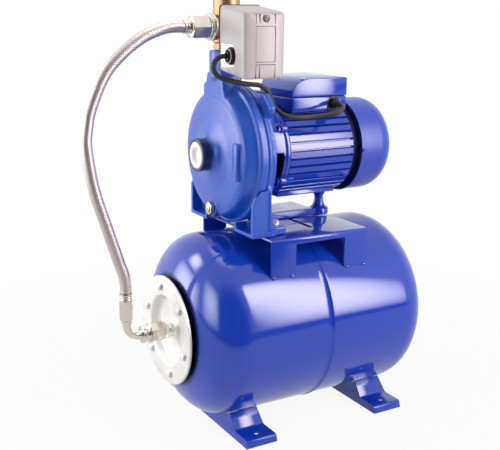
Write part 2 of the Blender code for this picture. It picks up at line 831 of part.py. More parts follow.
def make_feet():
    for name, side in (("foot_flange_end", -1), ("foot_motor_end", 1)):
        middle = side * FOOT_X
        foot = slab(name, [foot_outline(0.0)], "yz", middle - FOOT_W / 2, middle + FOOT_W / 2, "gloss_blue")
        hollow = slab(name + "_hollow", [foot_outline(FOOT_SHEET)], "yz",
                      middle - FOOT_W / 2 + FOOT_SHEET, middle + FOOT_W / 2 - FOOT_SHEET)
        cut(hollow, tank_body(name + "_saddle", TANK_R + GAP + FOOT_SHEET))
        cut(foot, hollow, tank_body(name + "_seat", TANK_R + GAP))
        for end in (-1, 1):
            hole = rod("%s_hole_%d" % (name, end), "z", FOOT_PAD_Z - PAST, FOOT_PAD_Z + PAST, FOOT_HOLE_R,
                       (middle, end * FOOT_HOLE_Y), steps=16)
            cut(foot, hole)


def stand_profile():
    """End view of the folded sheet: a channel open downwards."""
    corner = (STAND_HALF - STAND_BEND, STAND_Z - STAND_BEND)
    outer = [(STAND_HALF, STAND_LOW_Z)] + arc(corner, STAND_BEND, 0, 90, 4)
    inner = [(STAND_HALF - STAND_SHEET, STAND_LOW_Z)] + arc(corner, STAND_BEND - STAND_SHEET, 0, 90, 3)
    outer_left = [(-y, z) for y, z in reversed(outer)]
    inner_left = [(-y, z) for y, z in inner]
    return outer + outer_left + inner_left + inner[::-1]


def make_stand():
    stand = slab("pump_stand", [stand_profile()], "yz", STAND_X0, STAND_X1, "gloss_blue")
    window_top = STAND_Z - STAND_BEND - STAND_SKIRT
    window = box("stand_window", (STAND_X0 + STAND_LEG, -REACH, TANK_Z), (STAND_X1 - STAND_LEG, REACH, window_top))
    cut(stand, window, tank_body("stand_seat", TANK_R + GAP))
    low, high = STAND_Z - PAST, STAND_Z + PAST
    for side in (-1, 1):
        y0, y1 = sorted((PUMP_Y + side * SLOT_Y0, PUMP_Y + side * SLOT_Y1))
        cut(stand, box("stand_slot_%d" % side, (SLOT_X - SLOT_W / 2, y0, low), (SLOT_X + SLOT_W / 2, y1, high)))
        cut(stand, rod("stand_bolt_hole_%d" % side, "z", low, high, M8_R + GAP,
                       (FOOT_BOLT_X, PUMP_Y + side * FOOT_BOLT_Y), steps=16))


def make_tank_outlet():
    across = (0, TANK_Z)
    boss_face = NECK_FACE_X - GAP - FLANGE_T + DISH_DEPTH - BOSS_LEN
    thread = NIPPLE_BORE + 0.004 - GAP
    turned("tank_nipple", [
        (boss_face + BOSS_LEN - 2 * GAP, thread), (boss_face - GAP, thread), (boss_face - GAP, NIPPLE_R),
        (NIPPLE_X, NIPPLE_R), (NIPPLE_X, NIPPLE_BORE), (boss_face + BOSS_LEN - 2 * GAP, NIPPLE_BORE),
    ], across=across, finish="nickel", steps=ROUND)
    tail = NIPPLE_R - 0.0035
    nut("union_nut", "x", UNION_X, NIPPLE_X - GAP, UNION_AF, tail + GAP, across, "nickel")
    ring = turned("elbow_ring", [
        (NIPPLE_X - 0.004, 0), (NIPPLE_X - 0.004, tail), (UNION_X - GAP, tail), (UNION_X - GAP, NIPPLE_R),
        (ELBOW_RING_X, NIPPLE_R), (ELBOW_RING_X, 0),
    ], across=across, steps=ROUND)
    bend_x = ELBOW_X + ELBOW_BEND
    bend_z = TANK_Z + ELBOW_BEND
    bend = [(x, 0, z) for x, z in arc((bend_x, bend_z), ELBOW_BEND, 270, 180, 8)]
    route = [(ELBOW_RING_X + 0.004, 0, TANK_Z)] + bend + [(ELBOW_X, 0, ELBOW_TOP)]
    elbow = tube("hose_elbow", route, TUBE_R, "nickel", 3)
    weld(elbow, ring)
    lower = nut("hose_lower_nut", "z", ELBOW_TOP + GAP, LOWER_NUT_Z, LOWER_NUT_AF, HOSE_BORE, (ELBOW_X, 0),
                "nickel", 0.0)
    weld(lower, rod("lower_crimp", "z", LOWER_NUT_Z - 0.002, LOWER_NUT_Z + CRIMP_LEN, CRIMP_R, (ELBOW_X, 0),
                    steps=ROUND))


def make_hose():
    start = Vector((ELBOW_X, 0.0, LOWER_NUT_Z + CRIMP_LEN + 2 * GAP))
    end = Vector((UPPER_NUT_X - CRIMP_LEN - 2 * GAP, PUMP_Y, HOSE_PORT_Z))
    tube("braided_hose", smooth_route(carried_route(HOSE_ROUTE, start, end), 2.4 * HOSE_R), HOSE_R, "braid", 3)
    across = (PUMP_Y, HOSE_PORT_Z)
    upper = nut("hose_upper_nut", "x", UPPER_NUT_X, COLLAR_X - GAP, UPPER_NUT_AF, HOSE_BORE, across, "nickel", 0.0)
    weld(upper, rod("upper_crimp", "x", UPPER_NUT_X - CRIMP_LEN, UPPER_NUT_X + 0.002, CRIMP_R, across, steps=ROUND))
    collar = rod("hose_collar", "x", COLLAR_X, COLLAR_IN_X, COLLAR_R, across, "nickel", steps=ROUND)
    cut(collar, rod("collar_bore", "x", COLLAR_X - PAST, COLLAR_IN_X + PAST, HOSE_BORE, across))


def make_five_way():
    """The brass body over the discharge, with ports for hose, gauge, switch and the outlet on top."""
    across = (TOWER_X, PUMP_Y)
    low = DISCHARGE_Z + GAP
    spigot = DISCHARGE_BORE - GAP
    body = turned("five_way_fitting", [
        (low - SPIGOT_DEPTH, FIVE_WAY_R), (low - SPIGOT_DEPTH, spigot), (low, spigot), (low, FIVE_LOW_R),
        (FIVE_LOW_Z, FIVE_LOW_R),
        (FIVE_LOW_Z + 0.0015, FIVE_R), (FIVE_TOP_Z - 0.0015, FIVE_R), (FIVE_TOP_Z, FIVE_OUT_R),
        (FIVE_END_Z, FIVE_OUT_R), (FIVE_END_Z, FIVE_BORE), (FIVE_END_Z - FIVE_BORE_DEPTH, FIVE_BORE),
        (FIVE_END_Z - FIVE_BORE_DEPTH, FIVE_WAY_R),
    ], axis="z", across=across, finish="brass", steps=ROUND)
    weld(body, rod("hose_stub", "x", COLLAR_IN_X + GAP, TOWER_X - 0.010, 0.0150, (PUMP_Y, HOSE_PORT_Z), steps=18))
    weld(body, rod("gauge_stub", "x", TOWER_X + 0.010, TOWER_X + FIVE_R + 0.002, 0.0085, (PUMP_Y, SMALL_PORT_Z)))
    weld(body, rod("switch_stub", "y", PUMP_Y - FIVE_R - 0.0015, PUMP_Y - 0.010, 0.0095, (TOWER_X, SMALL_PORT_Z)))
    cut(body, rod("five_way_way", "z", low - 2 * SPIGOT_DEPTH, FIVE_END_Z - PAST, FIVE_WAY_R - GAP, across,
                  steps=16))


def make_gauge():
    across = (PUMP_Y, SMALL_PORT_Z)
    stub = TOWER_X + FIVE_R + 0.002 + GAP
    case = turned("gauge_case", [
        (stub, 0), (stub, GAUGE_STEM_R), (GAUGE_BACK_X, GAUGE_STEM_R), (GAUGE_BACK_X, GAUGE_R - 0.003),
        (GAUGE_BACK_X + 0.003, GAUGE_R), (GAUGE_FACE_X - 0.002, GAUGE_R), (GAUGE_FACE_X, GAUGE_R - 0.001),
        (GAUGE_FACE_X, GAUGE_R - GAUGE_WALL - 0.001), (GAUGE_BACK_X + 0.006, GAUGE_R - GAUGE_WALL - 0.001),
        (GAUGE_BACK_X + 0.006, 0),
    ], across=across, finish="black", steps=ROUND)
    weld(case, slab("gauge_hex", [hexagon(0.014, across)], "yz", stub + 0.002, GAUGE_BACK_X - 0.001))
    dial_x = GAUGE_FACE_X - DIAL_SINK
    dial = rod("gauge_dial", "x", GAUGE_BACK_X + 0.006 + GAP, dial_x, GAUGE_R - GAUGE_WALL - 0.001 - GAP, across,
               "grey_dial", steps=ROUND)
    cut(dial, rod("dial_bore", "x", GAUGE_BACK_X, 0.0, 0.0012 + GAP, across, steps=12))
    pivot = axis_empty("gauge_pointer_axis", (dial_x, PUMP_Y, SMALL_PORT_Z))
    hand = slab("gauge_pointer", [pointer_outline(across)], "yz", dial_x + 0.001, dial_x + 0.002, "black", pivot)
    weld(hand, rod("pointer_hub", "x", dial_x + 0.0005, dial_x + 0.003, POINTER_HUB_R, across, steps=12))
    weld(hand, rod("pointer_pin", "x", dial_x - 0.004, dial_x + 0.002, 0.0012, across, steps=12))


def pointer_outline(across):
    """A tapered hand that points down to the dial's zero, with a short tail."""
    y, z = across
    reach = GAUGE_R - 0.007
    angle = math.radians(225)
    along = Vector((math.cos(angle), math.sin(angle)))
    side = Vector((-along.y, along.x))
    middle = Vector((y, z))
    corners = [middle - along * 0.007 - side * 0.0014, middle + along * reach - side * 0.0004,
               middle + along * reach + side * 0.0004, middle - along * 0.007 + side * 0.0014]
    return [tuple(c) for c in corners]


def make_switch():
    """Pressure switch: diaphragm cap, base, plunger, lever, contacts, spring and cover."""
    x0, x1 = SWITCH_X - SWITCH_W / 2, SWITCH_X + SWITCH_W / 2
    z0, z1 = SWITCH_Z - SWITCH_H / 2, SWITCH_Z + SWITCH_H / 2
    port = (TOWER_X, SMALL_PORT_Z)
    stub = PUMP_Y - FIVE_R - 0.0015 - GAP
    cap = rod("switch_diaphragm_cap", "y", CAP_Y0, CAP_Y1, CAP_R, port, "zinc", steps=ROUND)
    weld(cap, slab("switch_neck", [hexagon(NECK_AF, port, 0.0)], "xz", CAP_Y1 - 0.001, stub))
    cut(cap, rod("cap_bore", "y", CAP_Y0 - 0.01, CAP_Y0 + 0.004, PLUNGER_R + RUN, port, steps=16))
    base_back = CAP_Y0 - GAP
    base_front = base_back - SWITCH_BASE_T
    base = box("switch_base", (x0 + 0.0015, base_front, z0 + 0.0015), (x1 - 0.0015, base_back, z1 - 0.0015),
               "steel", bevel=0.0006)
    cut(base, rod("base_bore", "y", base_front - 0.01, base_back + 0.01, PLUNGER_R + RUN, port, steps=16))
    plate = box("gland_plate", (x0 + SWITCH_WALL + 0.001, NOTCH_Y - 0.020, NOTCH_Z - 0.021),
                (x0 + SWITCH_WALL + 0.003, base_front + 0.002, NOTCH_Z + 0.021))
    weld(base, plate)
    cut(base, rod("gland_hole", "x", x0 - 0.01, x0 + 0.01, GROMMET_R - 0.002, (NOTCH_Y, NOTCH_Z)))
    make_switch_works(port, base_front, base)
    make_switch_cover(x0, x1, z0, z1, base_front)
    make_grommet(x0)


def make_switch_works(port, base_front, base):
    """Plunger, rocking lever on its pin, contact block, and the range spring on its stud."""
    x, z = port
    head = base_front - 0.003
    pivot = axis_empty("switch_plunger_axis", (x, base_front, z))
    rod("switch_plunger", "y", head, CAP_Y0 + 0.003, PLUNGER_R, port, "brass", pivot, steps=SMALL)
    hinge_z = z - LEVER_ARM
    lever_y = head - LEVER_GAP - LEVER_T / 2
    lever_pivot = axis_empty("switch_lever_axis", (x, lever_y, hinge_z))
    low_y, high_y = lever_y - LEVER_T / 2, lever_y + LEVER_T / 2
    spring_z = z + SPRING_RISE
    lever = box("switch_lever", (x - 0.009, low_y, hinge_z - 0.002), (x + 0.009, high_y, spring_z + SPRING_R),
                "zinc", lever_pivot)
    weld(lever, rod("lever_pin", "x", x - 0.012, x + 0.0145, LEVER_PIN_R, (lever_y, hinge_z), steps=12))
    cut(lever, rod("lever_stud_hole", "y", low_y - 0.01, high_y + 0.01, STUD_R + 0.0012, (x, spring_z), steps=12))
    contacts = box("contact_block", (x + 0.0125, lever_y - 0.010, z - 0.036),
                   (x + 0.0255, base_front - GAP, z + 0.016), "black")
    cut(contacts, rod("lever_pin_seat", "x", x, x + 0.0155, LEVER_PIN_R + RUN, (lever_y, hinge_z), steps=12))
    near = low_y - SPRING_GAP
    far = near - SPRING_LEN
    turned("range_spring", [
        (far, SPRING_R - 0.0018), (far, SPRING_R), (near, SPRING_R), (near, SPRING_R - 0.0018),
    ], axis="y", across=(x, spring_z), finish="steel", steps=SMALL)
    weld(base, rod("range_stud", "y", far - 0.003, base_front + 0.001, STUD_R, (x, spring_z), steps=12))
    weld(base, rod("range_nut", "y", far - GAP - 0.003, far - GAP, SPRING_R - 0.0005, (x, spring_z)))


def make_switch_cover(x0, x1, z0, z1, base_front):
    """A deep box, open to the base, with a crowned front, a bare label recess and a round cable notch."""
    depth = base_front - GAP
    cover = box("switch_cover", (x0, SWITCH_FRONT_Y, z0), (x1, depth, z1), "grey_cover")
    round_edges(cover, 0.004, 3)
    wall = SWITCH_WALL
    cut(cover, box("cover_hollow", (x0 + wall, SWITCH_FRONT_Y + wall + 0.001, z0 + wall),
                   (x1 - wall, depth + 0.02, z1 - wall)))
    label_z = SWITCH_Z + 0.0007
    cut(cover, box("label_recess", (SWITCH_X - LABEL_W / 2, SWITCH_FRONT_Y - 0.01, label_z - LABEL_H / 2),
                   (SWITCH_X + LABEL_W / 2, SWITCH_FRONT_Y + LABEL_DEPTH, label_z + LABEL_H / 2)))
    cut(cover, rod("cover_notch", "x", x0 - 0.01, x0 + wall + 0.001, NOTCH_R, (NOTCH_Y, NOTCH_Z), steps=ROUND))
    cut(cover, box("notch_mouth", (x0 - 0.01, NOTCH_Y, NOTCH_Z - NOTCH_R),
                   (x0 + wall + 0.001, depth + 0.01, NOTCH_Z + NOTCH_R)))


def make_grommet(x0):
    across = (NOTCH_Y, NOTCH_Z)
    plate0 = x0 + SWITCH_WALL + 0.001
    seat = GROMMET_R - 0.002 - GAP
    end = x0 - GROMMET_OUT
    turned("switch_grommet", [
        (end, LEAD_R + GAP), (end, GROMMET_R - 0.003), (end + 0.004, GROMMET_R), (plate0 - GAP, GROMMET_R),
        (plate0 - GAP, seat), (plate0 + 0.004, seat), (plate0 + 0.004, LEAD_R + GAP),
    ], across=across, finish="black", steps=18)


def make_lead():
    x0 = SWITCH_X - SWITCH_W / 2
    start = Vector((x0 - GROMMET_OUT - GAP, NOTCH_Y, NOTCH_Z))
    end = Vector((GLAND_X, -BOX_HALF + PUMP_Y - GLAND_OUT - GAP, GLAND_Z))
    tube("switch_lead", smooth_route(carried_route(LEAD_ROUTE, start, end), 2.6 * LEAD_R), LEAD_R, "rubber", 2)


def tower_outline():
    """Front view of the discharge tower: a square shoulder on one side, a long sweep on the other."""
    shoulder = PUMP_Y + 0.033
    root = DISCHARGE_BASE_Z - TOWER_ROOT
    sweep_middle = (PUMP_Y - TOWER_HALF - TOWER_SWEEP_R, DISCHARGE_BASE_Z - 0.002)
    sweep = arc(sweep_middle, TOWER_SWEEP_R, 0, -47, 8)
    return [
        (shoulder, root), (shoulder, DISCHARGE_BASE_Z - 0.0159),
        (PUMP_Y + TOWER_HALF + 0.001, DISCHARGE_BASE_Z - 0.0129),
        (PUMP_Y + TOWER_HALF, DISCHARGE_BASE_Z), (PUMP_Y - TOWER_HALF, DISCHARGE_BASE_Z),
    ] + sweep + [(PUMP_Y - 0.020, root)]


def case_outer():
    """Half section of the casing's outside, from the suction port to the ring."""
    return [
        (PORT_X, PORT_R - 0.0015), (PORT_X + 0.0015, PORT_R), (PORT_FILLET_X - 0.005, PORT_R),
        (PORT_FILLET_X - 0.002, PORT_R + 0.0015), (PORT_FILLET_X, PORT_FILLET_R),
        (FRONT_X - 0.0035, FRONT_R - 0.010), (FRONT_X - 0.0012, FRONT_R - 0.003), (FRONT_X + 0.0015, FRONT_R),
        (CASE_RING_X - 0.004, CASE_R - 0.006), (CASE_RING_X - 0.001, CASE_R - 0.0005), (CASE_RING_X + 0.001, CASE_R),
        (CASE_BACK_X - 0.001, CASE_R), (CASE_BACK_X, CASE_R - 0.001),
    ]


def make_casing():
    across = (PUMP_Y, SHAFT_Z)
    inside = [
        (CASE_BACK_X, SPIGOT_R + GAP), (CASE_BACK_X - 0.006, SPIGOT_R + GAP), (CASE_BACK_X - 0.006, CHAMBER_R),
        (FRONT_X + CASE_WALL, CHAMBER_R), (FRONT_X + CASE_WALL - 0.003, CHAMBER_R - 0.004),
        (EYE_X + 0.004, PORT_BORE + 0.006), (EYE_X, PORT_BORE), (PORT_X + CAP_SEAT, PORT_BORE),
        (PORT_X + CAP_SEAT, SUCTION_CAP_R + GAP), (PORT_X, SUCTION_CAP_R + GAP),
    ]
    case = turned("pump_casing", case_outer() + inside, across=across, finish="cast_blue", steps=FINE)
    tower = slab("tower_block", [tower_outline()], "yz", TOWER_X - TOWER_DEPTH + 0.0035, CASE_BACK_X - 0.0007)
    boss = rod("discharge_boss", "z", DISCHARGE_BASE_Z - 0.0084, DISCHARGE_Z, DISCHARGE_R, (TOWER_X, PUMP_Y),
               steps=ROUND)
    weld(tower, boss)
    cut(tower, turned("tower_hollow", [
        (PORT_X, 0), (PORT_X, FRONT_R - 0.0015), (CASE_BACK_X - 0.0075, FRONT_R - 0.0015),
        (CASE_BACK_X - 0.0075, SPIGOT_R + 0.0012), (0.0, SPIGOT_R + 0.0012), (0.0, 0),
    ], across=across, steps=FINE + 7))
    weld(case, tower)
    rib = box("face_rib", (FRONT_X - 0.004 - RIB_PROUD, RIB_Y - RIB_W / 2, SHAFT_Z - 0.002 - RIB_H / 2),
              (FRONT_X + 0.002, RIB_Y + RIB_W / 2, SHAFT_Z - 0.002 + RIB_H / 2), bevel=0.001)
    weld(case, rib)
    drain = (PUMP_Y, DRAIN_Z)
    weld(case, rod("drain_boss", "x", FRONT_X - 0.0055, FRONT_X + 0.004, DRAIN_R + 0.005, drain, steps=18))
    cut(case, rod("drain_hole", "x", FRONT_X - 0.01, FRONT_X + 0.02, DRAIN_R + GAP, drain))
    cut(case, rod("discharge_way", "z", SHAFT_Z + CHAMBER_R - 0.012, DISCHARGE_Z + 0.01, DISCHARGE_BORE,
                  (TOWER_X, PUMP_Y), steps=18))
    face = FRONT_X - 0.0055 - GAP
    plug = rod("drain_plug", "x", face - 0.002, FRONT_X + 0.008, DRAIN_R, drain, "brass")
    weld(plug, slab("plug_head", [hexagon(DRAIN_AF, drain)], "yz", face - DRAIN_HEAD, face))
    make_suction_cap(across)


def make_suction_cap(across):
    """The transport plug: a ring that lies flush in the port's counterbore, a sunk middle and a short skirt."""
    face = PORT_X + GAP
    seat = PORT_X + CAP_SEAT - GAP
    skirt = PORT_BORE - GAP
    turned("suction_cap", [
        (seat + 0.001, 0), (face + 0.002, 0), (face + 0.002, 0.0095), (face, 0.0115),
        (face, SUCTION_CAP_R - 0.001), (face + 0.001, SUCTION_CAP_R), (seat, SUCTION_CAP_R),
        (seat, skirt), (seat + 0.008, skirt), (seat + 0.008, skirt - 0.002), (seat + 0.001, skirt - 0.002),
    ], across=across, finish="white", steps=ROUND)


def ear_outline(angle):
    """A square lug on the bracket's flange, pointing outwards at an angle."""
    along = Vector((math.cos(angle), math.sin(angle)))
    side = Vector((-along.y, along.x)) * EAR_W / 2
    middle = Vector((PUMP_Y, SHAFT_Z))
    near = middle + along * (SPIGOT_R - 0.018)
    far = middle + along * EAR_R
    chamfer = along * 0.006
    narrow = side * 0.72
    corners = [near - side, far - chamfer - side, far - narrow, far + narrow, far - chamfer + side, near + side]
    return [tuple(c) for c in corners]


def bracket_foot_outline(side):
    """Front view of one bracket leg: a straight outer edge, and a web that rises to the ring."""
    points = [
        (FOOT_OUT, STAND_Z + GAP), (FOOT_OUT, FOOT_TOP_Z), (FOOT_OUT - 0.006, FOOT_TOP_Z + 0.008),
        (FOOT_IN, FOOT_TOP_Z - 0.020), (FOOT_IN - 0.004, FOOT_FLANGE_Z + 0.016), (FOOT_IN - 0.006, STAND_Z + GAP),
    ]
    return [(PUMP_Y + side * y, z) for y, z in points]


def make_bracket():
    across = (PUMP_Y, SHAFT_Z)
    bracket = turned("pump_bracket", [
        (CASE_BACK_X - 0.0055, SPIGOT_R), (CASE_BACK_X - 0.0055, SPIGOT_R - 0.013),
        (PLATE_FRONT_X + 0.004, SPIGOT_R - 0.018),
        (PLATE_FRONT_X + 0.004, SEAL_R + GAP), (BRACKET_FLANGE_X1, SEAL_R + GAP), (BRACKET_FLANGE_X1, PLATE_R),
        (BRACKET_FLANGE_X0, PLATE_R), (BRACKET_FLANGE_X0, SPIGOT_R), (PLATE_REAR_X, SPIGOT_R),
        (PLATE_REAR_X, PLATE_R + 0.0015), (CASE_BACK_X + GAP, PLATE_R + 0.0015), (CASE_BACK_X + GAP, SPIGOT_R),
    ], across=across, finish="cast_blue", steps=FINE)
    ring_clear = rod("casing_clear", "x", -REACH, CASE_BACK_X + GAP, CASE_R + 0.0008, across, steps=FINE)
    for i, degrees in enumerate((45, 135)):
        ear = slab("bracket_ear_%d" % i, [ear_outline(math.radians(degrees))], "yz", BRACKET_FLANGE_X0,
                   BRACKET_FLANGE_X1)
        weld(bracket, ear)
    for side in (-1, 1):
        tag = "near" if side < 0 else "far"
        leg = slab("bracket_leg_" + tag, [bracket_foot_outline(side)], "yz", FOOT_FRONT_X, BRACKET_FLANGE_X1)
        y0, y1 = sorted((PUMP_Y + side * (FOOT_OUT - FOOT_WEB), PUMP_Y + side * (FOOT_IN + 0.001)))
        pocket = box("leg_pocket_" + tag, (FOOT_FRONT_X - 0.01, y0, STAND_Z + FOOT_WEB), (PLATE_FRONT_X - 0.004, y1,
                     SHAFT_Z))
        y0, y1 = sorted((PUMP_Y + side * FOOT_OUT, PUMP_Y + side * (FOOT_IN + 0.002)))
        toe = box("leg_toe_" + tag, (BRACKET_FLANGE_X1 - 0.004, y0, STAND_Z + GAP), (FOOT_REAR_X, y1, FOOT_FLANGE_Z))
        gusset = slab("leg_gusset_" + tag, [[
            (BRACKET_FLANGE_X1 - 0.003, FOOT_FLANGE_Z - 0.003), (FOOT_REAR_X - 0.002, FOOT_FLANGE_Z - 0.003),
            (FOOT_REAR_X - 0.002, FOOT_FLANGE_Z), (BRACKET_FLANGE_X1 - 0.001, FOOT_FLANGE_Z + 0.024),
            (BRACKET_FLANGE_X1 - 0.003, FOOT_FLANGE_Z + 0.024),
        ]], "xz", *sorted((PUMP_Y + side * FOOT_OUT, PUMP_Y + side * (FOOT_OUT - FOOT_WEB))))
        cut(leg, ring_clear, pocket)
        weld(leg, toe, gusset)
        weld(bracket, leg)
        place = (FOOT_BOLT_X, PUMP_Y + side * FOOT_BOLT_Y)
        cut(bracket, rod("leg_bolt_hole_" + tag, "z", STAND_Z - PAST, FOOT_FLANGE_Z + PAST, M8_R + GAP, place,
                         steps=16))
        bolt = rod("stand_bolt_" + tag, "z", STAND_Z - 0.012, FOOT_FLANGE_Z + 0.001, M8_R, place, "zinc", steps=16)
        weld(bolt, slab("stand_bolt_head_" + tag, [hexagon(M8_AF, place)], "xy", FOOT_FLANGE_Z + GAP,
                        FOOT_FLANGE_Z + GAP + M8_HEAD))


def blade_outline(reach, start, lean, thickness):
    """A curved blade seen along the shaft, from the hub to the rim."""
    inner = []
    outer = []
    for i in range(7):
        share = i / 6
        radius = start + (reach - start) * share
        angle = -lean * share
        along = Vector((math.cos(angle), math.sin(angle)))
        side = Vector((-along.y, along.x)) * thickness / 2
        inner.append(along * radius - side)
        outer.append(along * radius + side)
    return inner + outer[::-1]


def bladed_wheel(name, disc, blades, blade_span, finish, pivot, lean, start, reach, thickness):
    across = (PUMP_Y, SHAFT_Z)
    wheel = turned(name, disc, across=across, finish=finish, pivot=pivot, steps=ROUND)
    points = blade_outline(reach, start, lean, thickness)
    for i in range(blades):
        turn = Matrix.Rotation((i + BLADE_PHASE) * 2 * math.pi / blades, 2)
        outline = []
        for point in points:
            spun = turn @ point
            outline.append((across[0] + spun.x, across[1] + spun.y))
        weld(wheel, slab("%s_blade_%d" % (name, i), [outline], "yz", *blade_span))
    return wheel


def make_rotor():
    across = (PUMP_Y, SHAFT_Z)
    pivot = axis_empty("rotor_axis", (0.0, PUMP_Y, SHAFT_Z))
    seat = SHAFT_R + GAP
    shoulder = 0.0085
    turned("motor_shaft", [
        (SHAFT_FRONT_X, 0), (SHAFT_FRONT_X, SHAFT_R - 0.001), (SHAFT_FRONT_X + 0.001, SHAFT_R),
        (BEARING_FRONT_X + BEARING_W + GAP, SHAFT_R), (BEARING_FRONT_X + BEARING_W + GAP, shoulder),
        (BEARING_REAR_X - GAP, shoulder), (BEARING_REAR_X - GAP, SHAFT_R), (SHAFT_REAR_X - 0.001, SHAFT_R),
        (SHAFT_REAR_X, SHAFT_R - 0.001), (SHAFT_REAR_X, 0),
    ], across=across, finish="steel", pivot=pivot, steps=18)
    turned("rotor_core", [
        (STATOR_X0, shoulder + GAP), (STATOR_X0, ROTOR_CORE_R), (STATOR_X1, ROTOR_CORE_R),
        (STATOR_X1, shoulder + GAP),
    ], across=across, finish="steel", pivot=pivot, steps=ROUND)
    face = IMPELLER_BACK_X - IMPELLER_DISC
    front = face - IMPELLER_BLADE
    bladed_wheel("impeller", [
        (IMPELLER_BACK_X + 0.003, seat), (IMPELLER_BACK_X + 0.003, IMPELLER_HUB_R),
        (IMPELLER_BACK_X, IMPELLER_HUB_R + 0.001),
        (IMPELLER_BACK_X, IMPELLER_R), (face, IMPELLER_R), (face, IMPELLER_HUB_R + 0.003),
        (front - 0.002, IMPELLER_HUB_R - 0.001), (front - 0.002, seat),
    ], IMPELLER_BLADES, (front, face + 0.0005), "brass", pivot, math.radians(55), IMPELLER_HUB_R - 0.002,
                 IMPELLER_R - 0.0008, 0.0028)
    turned("shaft_seal", [
        (IMPELLER_BACK_X + 0.0033, seat), (IMPELLER_BACK_X + 0.0033, 0.0125), (PLATE_REAR_X, 0.0125),
        (PLATE_REAR_X, 0.0145), (BRACKET_FLANGE_X1 - 0.002, 0.0145), (BRACKET_FLANGE_X1 - 0.002, seat),
    ], across=across, finish="rubber", pivot=pivot, steps=18)
    bladed_wheel("cooling_fan", [
        (FAN_X, seat), (FAN_X, FAN_R), (FAN_X + FAN_DISC, FAN_R), (FAN_X + FAN_DISC, 0.013),
        (FAN_X + 0.012, 0.012), (FAN_X + 0.012, seat),
    ], FAN_BLADES, (FAN_X + FAN_DISC - 0.0005, FAN_X + FAN_DISC + FAN_BLADE), "black", pivot, 0.0, 0.0115,
                 FAN_R - 0.001, 0.002)


def bearing(name, start):
    """A ball bearing as its closed ring, shields on."""
    across = (PUMP_Y, SHAFT_Z)
    return turned(name, [
        (start, BEARING_BORE), (start, BEARING_R - 0.0006), (start + 0.0006, BEARING_R),
        (start + BEARING_W - 0.0006, BEARING_R), (start + BEARING_W, BEARING_R - 0.0006),
        (start + BEARING_W, BEARING_BORE),
    ], across=across, finish="steel", steps=SMALL)


def frame_outline():
    """Section of the ribbed motor frame: ribs all round, and a plain pad underneath."""
    points = []
    pitch = 2 * math.pi / FIN_COUNT
    for i in range(FIN_COUNT):
        middle = i * pitch
        off_bottom = abs((middle - 1.5 * math.pi + math.pi) % (2 * math.pi) - math.pi)
        if off_bottom < PAD_HALF_ANGLE:
            for share in (-0.5, 0.0):
                angle = middle + share * pitch
                points.append((angle, FIN_TIP_R - 0.0006))
            continue
        half = pitch * FIN_SHARE / 2
        points.append((middle - pitch * 0.38, FIN_ROOT_R))
        points.append((middle - half * 0.86, FIN_TIP_R))
        points.append((middle + half * 0.86, FIN_TIP_R))
        points.append((middle + pitch * 0.38, FIN_ROOT_R))
    return [(PUMP_Y + r * math.cos(a), SHAFT_Z + r * math.sin(a)) for a, r in points]


def make_motor():
    across = (PUMP_Y, SHAFT_Z)
    bell_x0 = BRACKET_FLANGE_X1 + GAP
    seat = BEARING_R + GAP
    bell = turned("front_shield", [
        (bell_x0, BELL_R - BELL_WALL), (bell_x0, BELL_R - 0.001), (BELL_X1 - 0.010, BELL_R),
        (BELL_X1 - 0.0025, BELL_R), (BELL_X1, BELL_R - 0.0025), (BELL_X1, seat + 0.004),
        (BELL_X1 - 0.006, seat + 0.004),
        (BELL_X1 - 0.006, seat), (BEARING_FRONT_X - GAP, seat), (BEARING_FRONT_X - GAP, SHAFT_R + 0.001),
        (BEARING_FRONT_X - 0.003, SHAFT_R + 0.001), (BEARING_FRONT_X - 0.003, seat + 0.004),
        (BELL_X1 - 0.010, seat + 0.006), (BELL_X1 - 0.006, BELL_R - BELL_WALL - 0.002),
        (BELL_X1 - 0.012, BELL_R - BELL_WALL),
    ], across=across, finish="gloss_blue", steps=ROUND + 4)
    for side in (-1, 1):
        y0, y1 = sorted((PUMP_Y + side * BELL_R * 0.46, PUMP_Y + side * (BELL_R + PAST)))
        cut(bell, box("bell_window_%d" % side, (bell_x0 - PAST, y0, SHAFT_Z - WINDOW_DOWN),
                      (bell_x0 + WINDOW_LEN, y1, SHAFT_Z + WINDOW_UP)))
    for i, degrees in enumerate((215, 325, 35, 145)):
        angle = math.radians(degrees)
        place = (PUMP_Y + BELL_R * math.cos(angle), SHAFT_Z + BELL_R * math.sin(angle))
        weld(bell, rod("tie_ear_%d" % i, "x", BELL_X1 - 0.012, BELL_X1, 0.006, place, steps=16))
    bearing("bearing_front", BEARING_FRONT_X)
    hole = circle(FRAME_BORE, FINE, across)
    frame = slab("motor_frame", [frame_outline(), hole], "yz", BELL_X1 + GAP, FRAME_X1, "gloss_blue")
    cut(frame, box("box_seat", (BELL_X1 - PAST, -REACH, BOX_Z0 - GAP), (FRAME_X1 + PAST, REACH, BOX_Z1)))
    winding = [circle(FRAME_BORE - GAP, FINE, across), circle(STATOR_BORE, FINE, across)]
    slab("stator", winding, "yz", STATOR_X0 - 0.006, STATOR_X1 + 0.012, "copper")
    bearing("bearing_rear", BEARING_REAR_X)
    shield_x0 = FRAME_X1 + GAP
    back = BEARING_REAR_X + BEARING_W
    turned("rear_shield", [
        (shield_x0, seat), (shield_x0, SHIELD_R), (COVER_X0 - 0.001, SHIELD_R),
        (COVER_X0 - 0.001, COVER_R - COVER_WALL - GAP),
        (SHIELD_X1, COVER_R - COVER_WALL - GAP), (SHIELD_X1, SHIELD_R - 0.006), (back + 0.003, seat + 0.005),
        (back + 0.003, SHAFT_R + 0.001), (back + GAP, SHAFT_R + 0.001), (back + GAP, seat),
    ], across=across, finish="black", steps=ROUND + 4)


